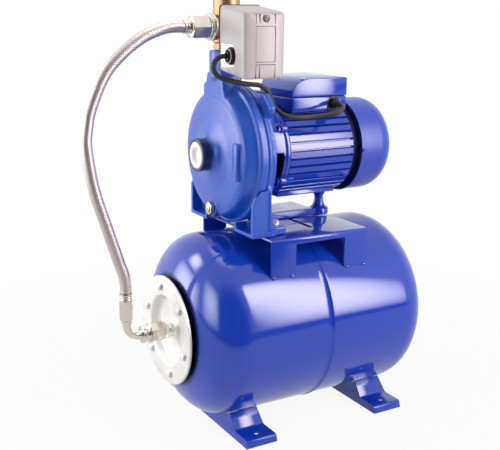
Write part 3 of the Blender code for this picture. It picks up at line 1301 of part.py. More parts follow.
def cover_outline(inset):
    """Half section of the fan cover: a straight skirt and a soft round into the flat end."""
    radius = COVER_R - inset
    end = COVER_X1 - inset
    points = [(COVER_X0, radius)]
    corner_x = COVER_X1 - COVER_ROUND
    corner_r = COVER_R - COVER_ROUND
    for i in range(7):
        angle = math.radians(90 * i / 6)
        points.append((corner_x + (end - corner_x) * math.sin(angle),
                       corner_r + (radius - corner_r) * math.cos(angle)))
    return points + [(end, 0.0)]


def make_fan_cover():
    across = (PUMP_Y, SHAFT_Z)
    cover = turned("fan_cover", cover_outline(0.0) + cover_outline(COVER_WALL)[::-1], across=across,
                   finish="gloss_blue", steps=FINE)
    for ring, (inner, outer, count) in enumerate(((0.012, 0.0235, 10), (0.0275, 0.0385, 16))):
        for i in range(count):
            angle = 2 * math.pi * (i + 0.5 * ring) / count
            along = Vector((math.cos(angle), math.sin(angle)))
            side = Vector((-along.y, along.x)) * 0.0019
            middle = Vector(across)
            outline = [middle + along * inner - side, middle + along * outer - side * 1.3,
                       middle + along * outer + side * 1.3, middle + along * inner + side]
            cut(cover, slab("grille_%d_%d" % (ring, i), [[tuple(p) for p in outline]], "yz", COVER_X1 - 2 * PAST,
                            COVER_X1 + PAST))


def box_outline(inset):
    """Front view of the terminal box lid, its pump end sloped."""
    x0, x1 = BOX_X0 + inset, BOX_X1 - inset
    top = BOX_Z1 - inset
    shoulder = BOX_Z1 - BOX_SLOPE_Z - inset * 0.3
    low = BOX_SEAM_Z + GAP if not inset else BOX_SEAM_Z - 0.01
    return [(x0, low), (x0, shoulder), (x0 + 0.008, shoulder + 0.0095), (x0 + 0.019, top - 0.0022),
            (x0 + BOX_SLOPE_X, top), (x1 - 0.002, top), (x1, top - 0.002), (x1, low)]


def make_terminal_box():
    y0, y1 = PUMP_Y - BOX_HALF, PUMP_Y + BOX_HALF
    wall = BOX_WALL
    tray = box("terminal_box", (BOX_X0, y0, BOX_Z0), (BOX_X1, y1, BOX_SEAM_Z), "gloss_blue", bevel=0.0015)
    cut(tray, box("tray_hollow", (BOX_X0 + wall, y0 + wall, BOX_Z0 + wall), (BOX_X1 - wall, y1 - wall, BOX_Z1)))
    cut(tray, rod("gland_bore", "y", y0 - PAST, y0 + PAST, GLAND_R - 0.002, (GLAND_X, GLAND_Z)))
    lid = slab("terminal_lid", [box_outline(0.0)], "xz", y0, y1, "gloss_blue")
    round_edges(lid, 0.0022, 2, math.radians(60))
    cut(lid, slab("lid_hollow", [box_outline(wall)], "xz", y0 + wall, y1 - wall))
    corner = slab("lid_corner", [[
        (BOX_X0 - 0.01, y1 + 0.01), (BOX_X0 - 0.01, y1 - 0.028), (BOX_X0 + 0.046, y1 + 0.01),
    ]], "xy", BOX_SEAM_Z + 0.0025, BOX_Z1 + PAST)
    liner = slab("lid_corner_liner", [[
        (BOX_X0 - 0.01, y1 + 0.01), (BOX_X0 - 0.01, y1 - 0.028 - 0.003), (BOX_X0 + 0.0505, y1 + 0.01),
    ]], "xy", BOX_SEAM_Z - 2 * PAST, BOX_Z1 + PAST)
    cut(bpy.data.objects["lid_hollow"], liner)
    cut(lid, corner)
    turned("box_gland", [
        (y0 + wall + 0.001, GLAND_R - 0.002 - GAP), (y0 - GAP, GLAND_R - 0.002 - GAP), (y0 - GAP, GLAND_R),
        (y0 - 0.006, GLAND_R), (y0 - GLAND_OUT, GLAND_R - 0.002), (y0 - GLAND_OUT, LEAD_R + GAP),
        (y0 + wall + 0.001, LEAD_R + GAP),
    ], axis="y", across=(GLAND_X, GLAND_Z), finish="black", steps=18)
    z = BOX_Z0 + wall + GAP + CAPACITOR_R
    rod("start_capacitor", "x", CAPACITOR_X0, CAPACITOR_X1, CAPACITOR_R, (PUMP_Y, z), "black", steps=18)


def make_support():
    bar = box("motor_support", (BAR_X0, PUMP_Y - BAR_HALF, STAND_Z + GAP), (BAR_X1, PUMP_Y + BAR_HALF, BAR_TOP),
              "gloss_blue", bevel=0.001)
    head = SHAFT_Z - FIN_TIP_R - 0.0002
    low = STAND_Z + GAP
    weld(bar, turned("support_post", [
        (low, 0), (low, POST_HUB_R - 0.001), (low + 0.001, POST_HUB_R), (low + 0.009, POST_HUB_R),
        (low + 0.0115, POST_HUB_R - 0.004), (low + 0.016, POST_NECK_R + 0.002), (low + 0.023, POST_NECK_R),
        (head - 0.008, POST_NECK_R + 0.0015), (head - 0.0015, POST_HEAD_R), (head, POST_HEAD_R), (head, 0),
    ], axis="z", across=(POST_X, PUMP_Y), steps=18))
    place = (BAR_X0 + 0.0115, PUMP_Y)
    cut(bar, rod("support_bolt_hole", "z", STAND_Z - PAST, BAR_TOP + PAST, M6_R + GAP, place, steps=12))
    cut(bpy.data.objects["pump_stand"], rod("stand_support_hole", "z", STAND_Z - PAST, BAR_TOP + PAST, M6_R + GAP,
                                            place, steps=12))
    bolt = rod("support_bolt", "z", STAND_Z - 0.003, BAR_TOP + 0.001, M6_R, place, "zinc", steps=12)
    weld(bolt, slab("support_bolt_head", [hexagon(M6_AF, place)], "xy", BAR_TOP + GAP, BAR_TOP + GAP + M6_HEAD))


make_tank()
make_flange()
make_feet()
make_stand()
make_tank_outlet()
make_hose()
make_five_way()
make_gauge()
make_switch()
make_lead()
make_casing()
make_bracket()
make_rotor()
make_motor()
make_fan_cover()
make_terminal_box()
make_support()
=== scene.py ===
"""Looks of the booster pump set: paint, metal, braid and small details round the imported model.

Metres. The pieces are worked out with the tank's middle at x = 0, as in the CAD source.
They are then shifted by SET_X.
"""

import json
import math

import bmesh
import bpy
from mathutils import Matrix, Vector

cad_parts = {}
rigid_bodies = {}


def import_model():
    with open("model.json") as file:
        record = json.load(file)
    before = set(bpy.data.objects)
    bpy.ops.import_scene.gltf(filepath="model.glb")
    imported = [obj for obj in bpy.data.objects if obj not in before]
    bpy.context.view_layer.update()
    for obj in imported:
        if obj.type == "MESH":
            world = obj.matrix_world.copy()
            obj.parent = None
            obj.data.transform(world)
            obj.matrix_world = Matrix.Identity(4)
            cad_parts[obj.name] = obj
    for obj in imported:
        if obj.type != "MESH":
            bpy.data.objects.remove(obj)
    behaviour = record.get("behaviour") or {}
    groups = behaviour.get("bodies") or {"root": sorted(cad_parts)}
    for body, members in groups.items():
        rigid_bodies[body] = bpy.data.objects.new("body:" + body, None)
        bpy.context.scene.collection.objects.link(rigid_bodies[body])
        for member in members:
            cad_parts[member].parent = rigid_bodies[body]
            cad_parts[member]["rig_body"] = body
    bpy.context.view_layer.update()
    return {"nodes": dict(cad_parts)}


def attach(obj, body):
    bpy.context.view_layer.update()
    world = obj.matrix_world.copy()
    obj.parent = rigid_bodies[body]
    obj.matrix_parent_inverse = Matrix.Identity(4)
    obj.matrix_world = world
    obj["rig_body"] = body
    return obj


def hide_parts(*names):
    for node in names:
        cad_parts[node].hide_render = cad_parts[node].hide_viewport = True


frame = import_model()

SET_X = 0.0285
GAP = 0.0003

# Tank
TANK_R = 0.135
TANK_HALF = 0.1317
TANK_Z = 0.1481
DOME_DEPTH = 0.0706
DOME_POWER = 2.2
TANK_WALL = 0.002
TANK_AXIS = (0.0, TANK_Z)

# Pump and motor axis
PUMP_Y = 0.010
SHAFT_Z = 0.3972
PUMP_AXIS = (PUMP_Y, SHAFT_Z)
TOWER_X = -0.098
TOWER = (TOWER_X, PUMP_Y)

# Camera, fitted to the photograph
LENS_MM = 62.06
CAMERA_PLACE = (-0.6621, -1.0697, 0.5963)
CAMERA_AZIMUTH = math.radians(-30.41)
CAMERA_ELEVATION = math.radians(13.97)
CAMERA_ROLL = math.radians(0.55)

# Where paint is shaded: the tank's neck, the motor's front shield and the suction port
NECK_SHADE_X = 0.1912
BELL_SHADE_R = (0.0618, 0.0632)
PORT_SHADE_R = (0.0225, 0.0275)
PORT_SHADE_X = -0.1035

# Crossing bands round the hose and bands per metre of it
BRAID_WIRES = 16.0
BRAID_PER_METRE = 300.0
FULL_TURN = 6.2832

# Free lines
HOSE_R = 0.008
LEAD_R = 0.0034
HOSE_ROUTE = (
    (-0.2618, 0.000, 0.2141),
    (-0.2618, 0.000, 0.2215),
    (-0.2625, 0.000, 0.2305),
    (-0.2644, 0.000, 0.2405),
    (-0.2704, 0.001, 0.2595),
    (-0.2850, 0.002, 0.3070),
    (-0.3015, 0.004, 0.3640),
    (-0.3090, 0.006, 0.4180),
    (-0.3065, 0.008, 0.4440),
    (-0.2997, 0.009, 0.4710),
    (-0.2798, 0.010, 0.5120),
    (-0.2550, 0.010, 0.5390),
    (-0.2255, 0.010, 0.5600),
    (-0.1985, 0.010, 0.5708),
    (-0.1810, 0.010, 0.5740),
    (-0.1656, 0.010, 0.5740),
)
LEAD_ROUTE = (
    (-0.1374, -0.0565, 0.5378),
    (-0.1394, -0.0565, 0.5378),
    (-0.1448, -0.0564, 0.5367),
    (-0.1494, -0.0563, 0.5336),
    (-0.1525, -0.0561, 0.5290),
    (-0.1536, -0.0560, 0.5236),
    (-0.1525, -0.0561, 0.5182),
    (-0.1494, -0.0566, 0.5137),
    (-0.1448, -0.0575, 0.5106),
    (-0.1394, -0.0585, 0.5085),
    (-0.1250, -0.0600, 0.5045),
    (-0.1060, -0.0590, 0.5008),
    (-0.0880, -0.0480, 0.4985),
    (-0.0720, -0.0400, 0.4960),
    (-0.0590, -0.0380, 0.4880),
    (-0.0545, -0.0410, 0.4760),
    (-0.0510, -0.0480, 0.4640),
    (-0.0410, -0.0585, 0.4545),
    (-0.0250, -0.0640, 0.4520),
    (-0.0030, -0.0660, 0.4520),
    (0.0200, -0.0725, 0.4540),
    (0.0330, -0.0775, 0.4570),
    (0.0420, -0.0765, 0.4610),
    (0.0475, -0.0705, 0.4645),
    (0.0490, -0.0630, 0.4662),
    (0.0490, -0.0563, 0.4665),
)


# Materials


class Field:
    """One output of a node. Sums and products of fields and numbers become Math nodes."""

    def __init__(self, web, socket):
        self.web = web
        self.socket = socket

    def math(self, operation, *values):
        return self.web.node("ShaderNodeMath", values, operation=operation)

    def __add__(self, other):
        return self.math("ADD", self, other)

    def __radd__(self, other):
        return self.math("ADD", other, self)

    def __sub__(self, other):
        return self.math("SUBTRACT", self, other)

    def __rsub__(self, other):
        return self.math("SUBTRACT", other, self)

    def __mul__(self, other):
        return self.math("MULTIPLY", self, other)

    def __rmul__(self, other):
        return self.math("MULTIPLY", other, self)

    def __pow__(self, other):
        return self.math("POWER", self, other)

    def sine(self):
        return self.math("SINE", self)

    def size(self):
        return self.math("ABSOLUTE", self)

    def most(self, other):
        return self.math("MAXIMUM", self, other)

    def step(self, low, high, start=0.0, end=1.0):
        """A smooth change from one value at low to another at high."""
        return self.web.node(
            "ShaderNodeMapRange",
            {"Value": self, "From Min": low, "From Max": high, "To Min": start, "To Max": end},
            interpolation_type="SMOOTHSTEP",
        )


class Web:
    """A node tree whose nodes are made and linked in one call."""

    def __init__(self, tree):
        self.tree = tree

    def node(self, kind, inputs=(), output=0, **settings):
        made = self.tree.nodes.new(kind)
        for key, value in settings.items():
            setattr(made, key, value)
        pairs = inputs.items() if isinstance(inputs, dict) else enumerate(inputs)
        for key, value in pairs:
            if isinstance(value, Field):
                self.tree.links.new(value.socket, made.inputs[key])
            else:
                made.inputs[key].default_value = value
        return Field(self, made.outputs[output])

    def place(self, kind="Object"):
        return self.node("ShaderNodeTexCoord", output=kind)

    def part(self, vector, which):
        """One of a vector's three parts."""
        return self.node("ShaderNodeSeparateXYZ", [vector], output=which)


class Kit(Web):
    """One material's node tree, with its Principled shader."""

    def __init__(self, name, color, roughness, metallic=0.0, **constants):
        self.material = bpy.data.materials.new(name)
        self.material.use_nodes = True
        super().__init__(self.material.node_tree)
        self.shader = self.tree.nodes["Principled BSDF"]
        self.shader.inputs["Base Color"].default_value = (*color, 1.0)
        self.shader.inputs["Roughness"].default_value = roughness
        self.shader.inputs["Metallic"].default_value = metallic
        for key, value in constants.items():
            self.shader.inputs[key.replace("_", " ")].default_value = value

    def feed(self, socket, field):
        self.tree.links.new(field.socket, self.shader.inputs[socket])

    def uv(self, which):
        return self.part(self.place("UV"), which)

    def axis(self, which):
        return self.part(self.place(), which)

    def noise(self, scale, detail=3.0, rough=0.55, stretch=None):
        where = self.place()
        if stretch is not None:
            where = self.node("ShaderNodeMapping", {"Vector": where, "Scale": stretch})
        return self.node(
            "ShaderNodeTexNoise", {"Vector": where, "Scale": scale, "Detail": detail, "Roughness": rough}
        )

    def cells(self, scale):
        return self.node("ShaderNodeTexVoronoi", {"Vector": self.place(), "Scale": scale})

    def mix(self, share, first, second):
        """A colour between two colours, by a field."""
        inputs = {0: share, 6: first, 7: second}
        for key in (6, 7):
            if not isinstance(inputs[key], Field):
                inputs[key] = (*inputs[key], 1.0)
        return self.node("ShaderNodeMix", inputs, output=2, data_type="RGBA")

    def bump(self, height, strength, distance):
        made = self.node("ShaderNodeBump", {"Height": height, "Strength": strength, "Distance": distance})
        self.feed("Normal", made)


def gloss_paint(name, shine, shade=None):
    """Deep blue enamel under a clear, slightly wavy coat. Shade, when given, is a mask of painted shade:
    there the colour turns near black and the coat thins.
    """
    kit = Kit(
        name, (0.003, 0.042, 0.43), 0.45,
        Coat_Weight=1.0, Coat_Roughness=shine, Coat_IOR=1.6, Specular_IOR_Level=0.1,
    )
    drift = kit.noise(9.0, 2.0)
    color = kit.mix(drift, (0.0022, 0.036, 0.40), (0.0040, 0.047, 0.46))
    if shade is not None:
        # Painted shade: near black where the mask is set, with most of the coat taken off so it reflects
        # little
        painted_shade_share = shade(kit)
        color = kit.mix(painted_shade_share, color, (0.0012, 0.0016, 0.0060))
        kit.feed("Coat Weight", 1.0 - 0.9 * painted_shade_share)
    kit.feed("Base Color", color)
    peel = kit.noise(420.0, 2.0)
    sag = kit.noise(26.0, 2.0)
    kit.feed("Roughness", 0.40 + 0.12 * kit.noise(60.0))
    kit.bump(peel * 0.35 + sag, 0.10, 0.0012)
    return kit.material


def off_axis(kit, axis):
    """Distance from an axis along X, given by its Y and Z."""
    off_y = kit.axis(1) - axis[0]
    off_z = kit.axis(2) - axis[1]
    return (off_y * off_y + off_z * off_z) ** 0.5


def neck_painted_shade(kit):
    """Painted shade on the tank's neck behind its flange, as a mask."""
    return (SET_X - NECK_SHADE_X - kit.axis(0)).step(-0.0022, 0.0012)


def bell_painted_shade(kit):
    """Painted shade inside the motor's front shield, as a mask, so its windows read dark."""
    return 1.0 - off_axis(kit, PUMP_AXIS).step(*BELL_SHADE_R)


def cast_paint():
    """Blue enamel over sand-cast iron: grainy, semi-gloss, with painted shade round the suction port."""
    kit = Kit(
        "cast_blue_paint", (0.006, 0.045, 0.40), 0.42,
        Coat_Weight=0.8, Coat_Roughness=0.26, Specular_IOR_Level=0.3,
    )
    grain = kit.noise(620.0, 5.0, 0.65)
    lumps = kit.noise(130.0, 3.0)
    patch = kit.noise(22.0, 3.0)
    body = kit.mix(patch, (0.005, 0.066, 0.44), (0.010, 0.094, 0.56))
    # Painted shade: the paint turns dark navy round the suction port
    near = 1.0 - off_axis(kit, PUMP_AXIS).step(*PORT_SHADE_R)
    forward = (PORT_SHADE_X - kit.axis(0)).step(-0.002, 0.003)
    kit.feed("Base Color", kit.mix(near * forward, body, (0.0015, 0.008, 0.075)))
    kit.feed("Roughness", 0.38 + 0.16 * grain)
    kit.bump(grain * 0.5 + lumps * 0.9, 0.60, 0.0013)
    return kit.material


def zinc_plate():
    """Bright zinc plating: pale, with faint crystals and a turned grain."""
    kit = Kit("zinc_plate", (0.86, 0.87, 0.87), 0.30, 1.0)
    blotch = kit.noise(38.0, 4.0)
    spangle = kit.cells(240.0)
    kit.feed("Base Color", kit.mix(blotch, (0.76, 0.75, 0.73), (0.94, 0.925, 0.91)))
    kit.feed("Roughness", 0.38 + 0.18 * blotch + 0.05 * spangle)
    kit.bump(kit.noise(900.0, 2.0) * 0.4 + blotch, 0.10, 0.0006)
    return kit.material


def hose_braid():
    """Braided steel wire: fine bands of wires that cross over and under round the hose."""
    kit = Kit("hose_braid", (0.66, 0.63, 0.60), 0.34, 1.0)
    around = kit.uv(0) * BRAID_WIRES
    along = kit.uv(1) * BRAID_PER_METRE
    right = ((around + along) * FULL_TURN).sine()
    left = ((around - along) * FULL_TURN).sine()
    band = right.most(left)
    gap = (0.10 - band).step(-0.30, 0.45)
    worn = kit.noise(70.0, 3.0)
    kit.feed("Base Color", kit.mix(gap * 0.6 + worn * 0.25, (0.74, 0.67, 0.65), (0.36, 0.29, 0.28)))
    kit.feed("Roughness", 0.42 + 0.16 * gap)
    kit.bump(band, 0.16, 0.0004)
    return kit.material


def varied(name, color, roughness, metallic, tint, shine=None, relief=None, **constants):
    """A material whose colour, roughness and relief each follow a noise.

    Tint is a noise with its two colours, shine a noise with its lowest value and swing,
    and relief a noise with its strength and depth.
    """
    kit = Kit(name, color, roughness, metallic, **constants)
    noise, first, second = tint
    kit.feed("Base Color", kit.mix(kit.noise(*noise), first, second))
    if shine is not None:
        noise, lowest, swing = shine
        kit.feed("Roughness", lowest + swing * kit.noise(*noise))
    if relief is not None:
        noise, strength, depth = relief
        kit.bump(kit.noise(*noise), strength, depth)
    return kit.material


PAINT = gloss_paint("gloss_blue_paint", 0.07)
SATIN = gloss_paint("satin_blue_paint", 0.36)
TANK_PAINT = gloss_paint("tank_blue_paint", 0.07, neck_painted_shade)
BELL_PAINT = gloss_paint("shield_blue_paint", 0.12, bell_painted_shade)
CAST = cast_paint()
ZINC = zinc_plate()
NICKEL = varied(
    "nickel_plate", (0.74, 0.69, 0.62), 0.18, 1.0,
    tint=((70.0, 3.0), (0.66, 0.60, 0.53), (0.82, 0.78, 0.72)),
    shine=((70.0, 3.0), 0.12, 0.14),
    relief=((300.0, 2.0), 0.06, 0.0006),
)
# A dark steel screw head
DULL = varied(
    "dull_screw", (0.20, 0.19, 0.18), 0.50, 0.7,
    tint=((400.0,), (0.13, 0.12, 0.11), (0.27, 0.26, 0.25)),
    shine=((200.0,), 0.42, 0.2),
)
# Steel with turned lines across the shaft
STEEL = varied(
    "machined_steel", (0.55, 0.55, 0.56), 0.30, 1.0,
    tint=((40.0,), (0.46, 0.46, 0.47), (0.62, 0.62, 0.63)),
    shine=((160.0, 2.0, 0.55, (14.0, 1.0, 1.0)), 0.22, 0.20),
    relief=((160.0, 2.0, 0.55, (14.0, 1.0, 1.0)), 0.12, 0.0004),
)
# Cast and turned brass, dull in its stains
BRASS = varied(
    "raw_brass", (0.72, 0.47, 0.20), 0.32, 1.0,
    tint=((45.0, 4.0), (0.36, 0.20, 0.11), (0.62, 0.40, 0.22)),
    shine=((45.0, 4.0), 0.34, 0.22),
    relief=((350.0, 3.0), 0.14, 0.0006),
)
# A new brass plug
BRIGHT_BRASS = varied(
    "bright_brass", (0.78, 0.64, 0.42), 0.26, 1.0,
    tint=((60.0, 3.0), (0.66, 0.50, 0.30), (0.88, 0.78, 0.58)),
    shine=((150.0,), 0.18, 0.14),
)
# Copper wires that run along the stator
COPPER = varied(
    "copper_winding", (0.60, 0.26, 0.12), 0.34, 1.0,
    tint=((240.0, 2.0, 0.55, (1.0, 7.0, 7.0)), (0.42, 0.16, 0.07), (0.72, 0.34, 0.17)),
    relief=((240.0, 2.0, 0.55, (1.0, 7.0, 7.0)), 0.3, 0.0008),
)
BLACK = varied(
    "black_plastic", (0.010, 0.010, 0.011), 0.42, 0.0,
    tint=((30.0,), (0.008, 0.008, 0.009), (0.022, 0.021, 0.021)),
    shine=((500.0, 3.0), 0.34, 0.20),
    relief=((500.0, 3.0), 0.16, 0.0006),
    Specular_IOR_Level=0.3,
)
# Dark warm grey sheath with a soft, dusty sheen
RUBBER = varied(
    "black_rubber", (0.020, 0.018, 0.017), 0.55, 0.0,
    tint=((60.0, 4.0), (0.010, 0.009, 0.009), (0.040, 0.036, 0.033)),
    shine=((220.0,), 0.42, 0.22),
    relief=((380.0, 3.0), 0.18, 0.0006),
)
# Blue paint darkened near black as painted shade, where the fan cover shades the rear shield
SHIELD_SHADE = varied(
    "shield_painted_shade", (0.002, 0.006, 0.06), 0.60, 0.0,
    tint=((30.0,), (0.001, 0.003, 0.030), (0.003, 0.009, 0.090)),
    shine=((300.0,), 0.52, 0.16),
    Specular_IOR_Level=0.2,
)
WHITE = varied(
    "white_plastic", (0.82, 0.81, 0.80), 0.40, 0.0,
    tint=((50.0,), (0.76, 0.75, 0.74), (0.88, 0.87, 0.86)),
    relief=((260.0,), 0.08, 0.0006),
    Subsurface_Weight=0.05, Subsurface_Scale=0.004,
)
# Warm grey moulding with a silky, finely eroded skin
COVER = varied(
    "grey_cover_plastic", (0.52, 0.49, 0.48), 0.40, 0.0,
    tint=((24.0,), (0.44, 0.41, 0.40), (0.50, 0.465, 0.455)),
    shine=((700.0, 3.0), 0.32, 0.16),
    relief=((700.0, 3.0), 0.12, 0.0006),
    Coat_Weight=0.25, Coat_Roughness=0.2,
)
# Near black: painted shade in the switch cover's grooves and in the joint at its back rim, and the ink of the
# dial's marks
SHADE_AND_INK = varied(
    "groove_shade_and_ink", (0.06, 0.05, 0.045), 0.7, 0.0,
    tint=((200.0,), (0.04, 0.035, 0.03), (0.10, 0.085, 0.075)),
)
PAPER = varied(
    "dial_paper", (0.86, 0.86, 0.84), 0.5, 0.0,
    tint=((90.0,), (0.82, 0.82, 0.80), (0.90, 0.90, 0.88)),
)
BRAID = hose_braid()

SLOT_LOOK = {
    "gloss_blue": PAINT,
    "cast_blue": CAST,
    "zinc": ZINC,
    "nickel": NICKEL,
    "steel": STEEL,
    "braid": BRAID,
    "brass": BRASS,
    "copper": COPPER,
    "black": BLACK,
    "rubber": RUBBER,
    "white": WHITE,
    "grey_cover": COVER,
    "grey_dial": PAPER,
}


# Geometry helpers


def merged(*shapes):
    """Several bmeshes as one, each with its own closed skin."""
    whole = bmesh.new()
    for shape in shapes:
        mesh = bpy.data.meshes.new("part")
        bmesh.ops.recalc_face_normals(shape, faces=shape.faces)
        shape.to_mesh(mesh)
        shape.free()
        whole.from_mesh(mesh)
        bpy.data.meshes.remove(mesh)
    return whole


def plain_object(shape, name="tool"):
    """An object from a bmesh, which is freed."""
    mesh = bpy.data.meshes.new(name)
    bmesh.ops.recalc_face_normals(shape, faces=shape.faces)
    shape.to_mesh(mesh)
    shape.free()
    obj = bpy.data.objects.new(name, mesh)
    bpy.context.scene.collection.objects.link(obj)
    return obj


def dressed(name, shape, slot, look, smooth, body):
    """A drawn object shifted to the row frame, with the material of its slot and the body it rides on."""
    obj = plain_object(shape, name)
    obj.data.transform(Matrix.Translation((SET_X, 0, 0)))
    obj.data.shade_smooth()
    obj.data.set_sharp_from_angle(angle=math.radians(smooth))
    obj.data.materials.clear()
    obj.data.materials.append(look or SLOT_LOOK[slot])
    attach(obj, body)
    return obj


def detail(name, shape, slot, look=None):
    """A small drawn piece without a CAD node, fixed to the set."""
    return dressed(name, shape, slot, look, 35.0, "set")


def refine(node, shape, slot, name=None, look=None, smooth=35.0):
    """A drawn piece that stands for a CAD node and rides on the node's body."""
    obj = dressed(name or node + "_fine", shape, slot, look, smooth, frame["nodes"][node]["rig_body"])
    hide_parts(node)
    return obj


def axis_point(axis, along, a, b):
    """A point given by its place along an axis and its two places across it."""
    return {"x": (along, a, b), "y": (a, along, b), "z": (a, b, along)}[axis]


def on_circle(middle, radius, angle):
    """The point of a circle at an angle in radians."""
    return (middle[0] + radius * math.cos(angle), middle[1] + radius * math.sin(angle))


def lathe(profile, axis="x", across=(0.0, 0.0), steps=96, closed=True):
    """A turned solid as a bmesh. The profile holds (place along the axis, radius) pairs."""
    shape = bmesh.new()
    rings = []
    for along, radius in profile:
        if radius < 1e-7:
            rings.append([shape.verts.new(axis_point(axis, along, across[0], across[1]))])
            continue
        ring = []
        for i in range(steps):
            point = on_circle(across, radius, 2 * math.pi * i / steps)
            ring.append(shape.verts.new(axis_point(axis, along, *point)))
        rings.append(ring)
    pairs = list(zip(rings, rings[1:] + rings[:1])) if closed else list(zip(rings, rings[1:]))
    for first, second in pairs:
        if len(first) == 1 and len(second) == 1:
            continue
        for i in range(steps):
            j = (i + 1) % steps
            near = (first[i % len(first)], first[j % len(first)])
            far = (second[j % len(second)], second[i % len(second)])
            unique = list(dict.fromkeys(near + far))
            if len(unique) > 2:
                shape.faces.new(unique)
    return shape


def rounded(profile, radius, steps=3, closed=True):
    """A profile with its corners rounded, by a quadratic curve through each corner."""
    count = len(profile)
    result = []
    for i, point in enumerate(profile):
        here = Vector(point)
        if not closed and i in (0, count - 1):
            result.append(tuple(here))
            continue
        before = Vector(profile[i - 1])
        after = Vector(profile[(i + 1) % count])
        back = before - here
        ahead = after - here
        short = min(back.length, ahead.length) < 1e-6
        if short or here.y < 1e-6 or back.angle(ahead) > math.radians(170):
            result.append(tuple(here))
            continue
        reach = min(radius, back.length * 0.45, ahead.length * 0.45)
        start = here + back.normalized() * reach
        end = here + ahead.normalized() * reach
        for k in range(steps + 1):
            t = k / steps
            result.append(tuple(start * (1 - t) ** 2 + here * 2 * t * (1 - t) + end * t * t))
    return result


def outline_solid(outlines, plane, start, end):
    """A flat outline, with holes as further outlines, extruded from start to end, as a bmesh."""
    curve = bpy.data.curves.new("outline", "CURVE")
    curve.dimensions = "2D"
    curve.fill_mode = "BOTH"
    curve.extrude = (end - start) / 2
    for outline in outlines:
        spline = curve.splines.new("POLY")
        spline.points.add(len(outline) - 1)
        for point, (across, up) in zip(spline.points, outline):
            point.co = (across, up, 0.0, 1.0)
        spline.use_cyclic_u = True
    guide = bpy.data.objects.new("outline", curve)
    bpy.context.scene.collection.objects.link(guide)
    shape = settled(guide)
    middle = (start + end) / 2
    turn = {
        "yz": Matrix(((0, 0, 1, middle), (1, 0, 0, 0), (0, 1, 0, 0), (0, 0, 0, 1))),
        "xz": Matrix(((1, 0, 0, 0), (0, 0, 1, middle), (0, 1, 0, 0), (0, 0, 0, 1))),
        "xy": Matrix(((1, 0, 0, 0), (0, 1, 0, 0), (0, 0, 1, middle), (0, 0, 0, 1))),
    }[plane]
    bmesh.ops.transform(shape, matrix=turn, verts=shape.verts)
    bmesh.ops.recalc_face_normals(shape, faces=shape.faces)
    return shape


def settled(obj):
    """The evaluated mesh of an object as a bmesh, its seams welded. The object is removed."""
    graph = bpy.context.evaluated_depsgraph_get()
    graph.update()
    mesh = bpy.data.meshes.new_from_object(obj.evaluated_get(graph))
    shape = bmesh.new()
    shape.from_mesh(mesh)
    bpy.data.meshes.remove(mesh)
    bpy.data.objects.remove(obj, do_unlink=True)
    bmesh.ops.remove_doubles(shape, verts=shape.verts, dist=0.000002)
    return shape


def block(low, high):
    """A box between two corners."""
    shape = bmesh.new()
    size = [b - a for a, b in zip(low, high)]
    middle = [(a + b) / 2 for a, b in zip(low, high)]
    bmesh.ops.create_cube(shape, size=1.0)
    bmesh.ops.scale(shape, vec=size, verts=shape.verts)
    bmesh.ops.translate(shape, vec=middle, verts=shape.verts)
    return shape


def cylinder(axis, start, end, radius, across, steps=48):
    """A round bar along an axis."""
    return lathe([(start, 0), (start, radius), (end, radius), (end, 0)], axis, across, steps, closed=False)


def carved(shape, *tools, operation="DIFFERENCE"):
    """A bmesh with other bmeshes cut from it, or kept only where they overlap it."""
    target = plain_object(shape, "target")
    made = []
    for tool in tools:
        helper = plain_object(tool)
        made.append(helper)
        step = target.modifiers.new("step", "BOOLEAN")
        step.operation = operation
        step.object = helper
    result = settled(target)
    for helper in made:
        bpy.data.objects.remove(helper, do_unlink=True)
    return result


def bevelled(shape, width, segments=3, angle=35.0):
    """A bmesh with its edges sharper than an angle rounded off."""
    target = plain_object(shape, "target")
    bevel = target.modifiers.new("edges", "BEVEL")
    bevel.width = width
    bevel.segments = segments
    bevel.limit_method = "ANGLE"
    bevel.angle_limit = math.radians(angle)
    return settled(target)


def cast_blend(shapes, voxel, rounds):
    """Several overlapping solids melted into one casting with soft edges and fillets."""
    target = plain_object(merged(*shapes), "casting")
    remesh = target.modifiers.new("melt", "REMESH")
    remesh.mode = "VOXEL"
    remesh.voxel_size = voxel
    soften = target.modifiers.new("soften", "SMOOTH")
    soften.factor = 0.5
    soften.iterations = rounds
    return settled(target)


def smooth_path(points, spacing):
    """Points at an even spacing on one smooth curve through the given points."""
    anchors = [Vector(p) for p in points]
    anchors = [2 * anchors[0] - anchors[1]] + anchors + [2 * anchors[-1] - anchors[-2]]
    fine = []
    for i in range(1, len(anchors) - 2):
        p0, p1, p2, p3 = anchors[i - 1:i + 3]
        for k in range(24):
            t = k / 24
            bend = (2 * p0 - 5 * p1 + 4 * p2 - p3) * t**2
            twist = (3 * p1 - p0 - 3 * p2 + p3) * t**3
            fine.append(0.5 * (2 * p1 + (p2 - p0) * t + bend + twist))
    fine.append(anchors[-2])
    lengths = [0.0]
    for a, b in zip(fine, fine[1:]):
        lengths.append(lengths[-1] + (b - a).length)
    count = max(2, round(lengths[-1] / spacing))
    result = []
    k = 0
    for i in range(count + 1):
        want = lengths[-1] * i / count
        while k < len(lengths) - 2 and lengths[k + 1] < want:
            k += 1
        share = (want - lengths[k]) / (lengths[k + 1] - lengths[k])
        result.append(fine[k].lerp(fine[k + 1], share))
    return result


def path_length(path):
    """The length of a path along its points."""
    return sum((b - a).length for a, b in zip(path, path[1:]))


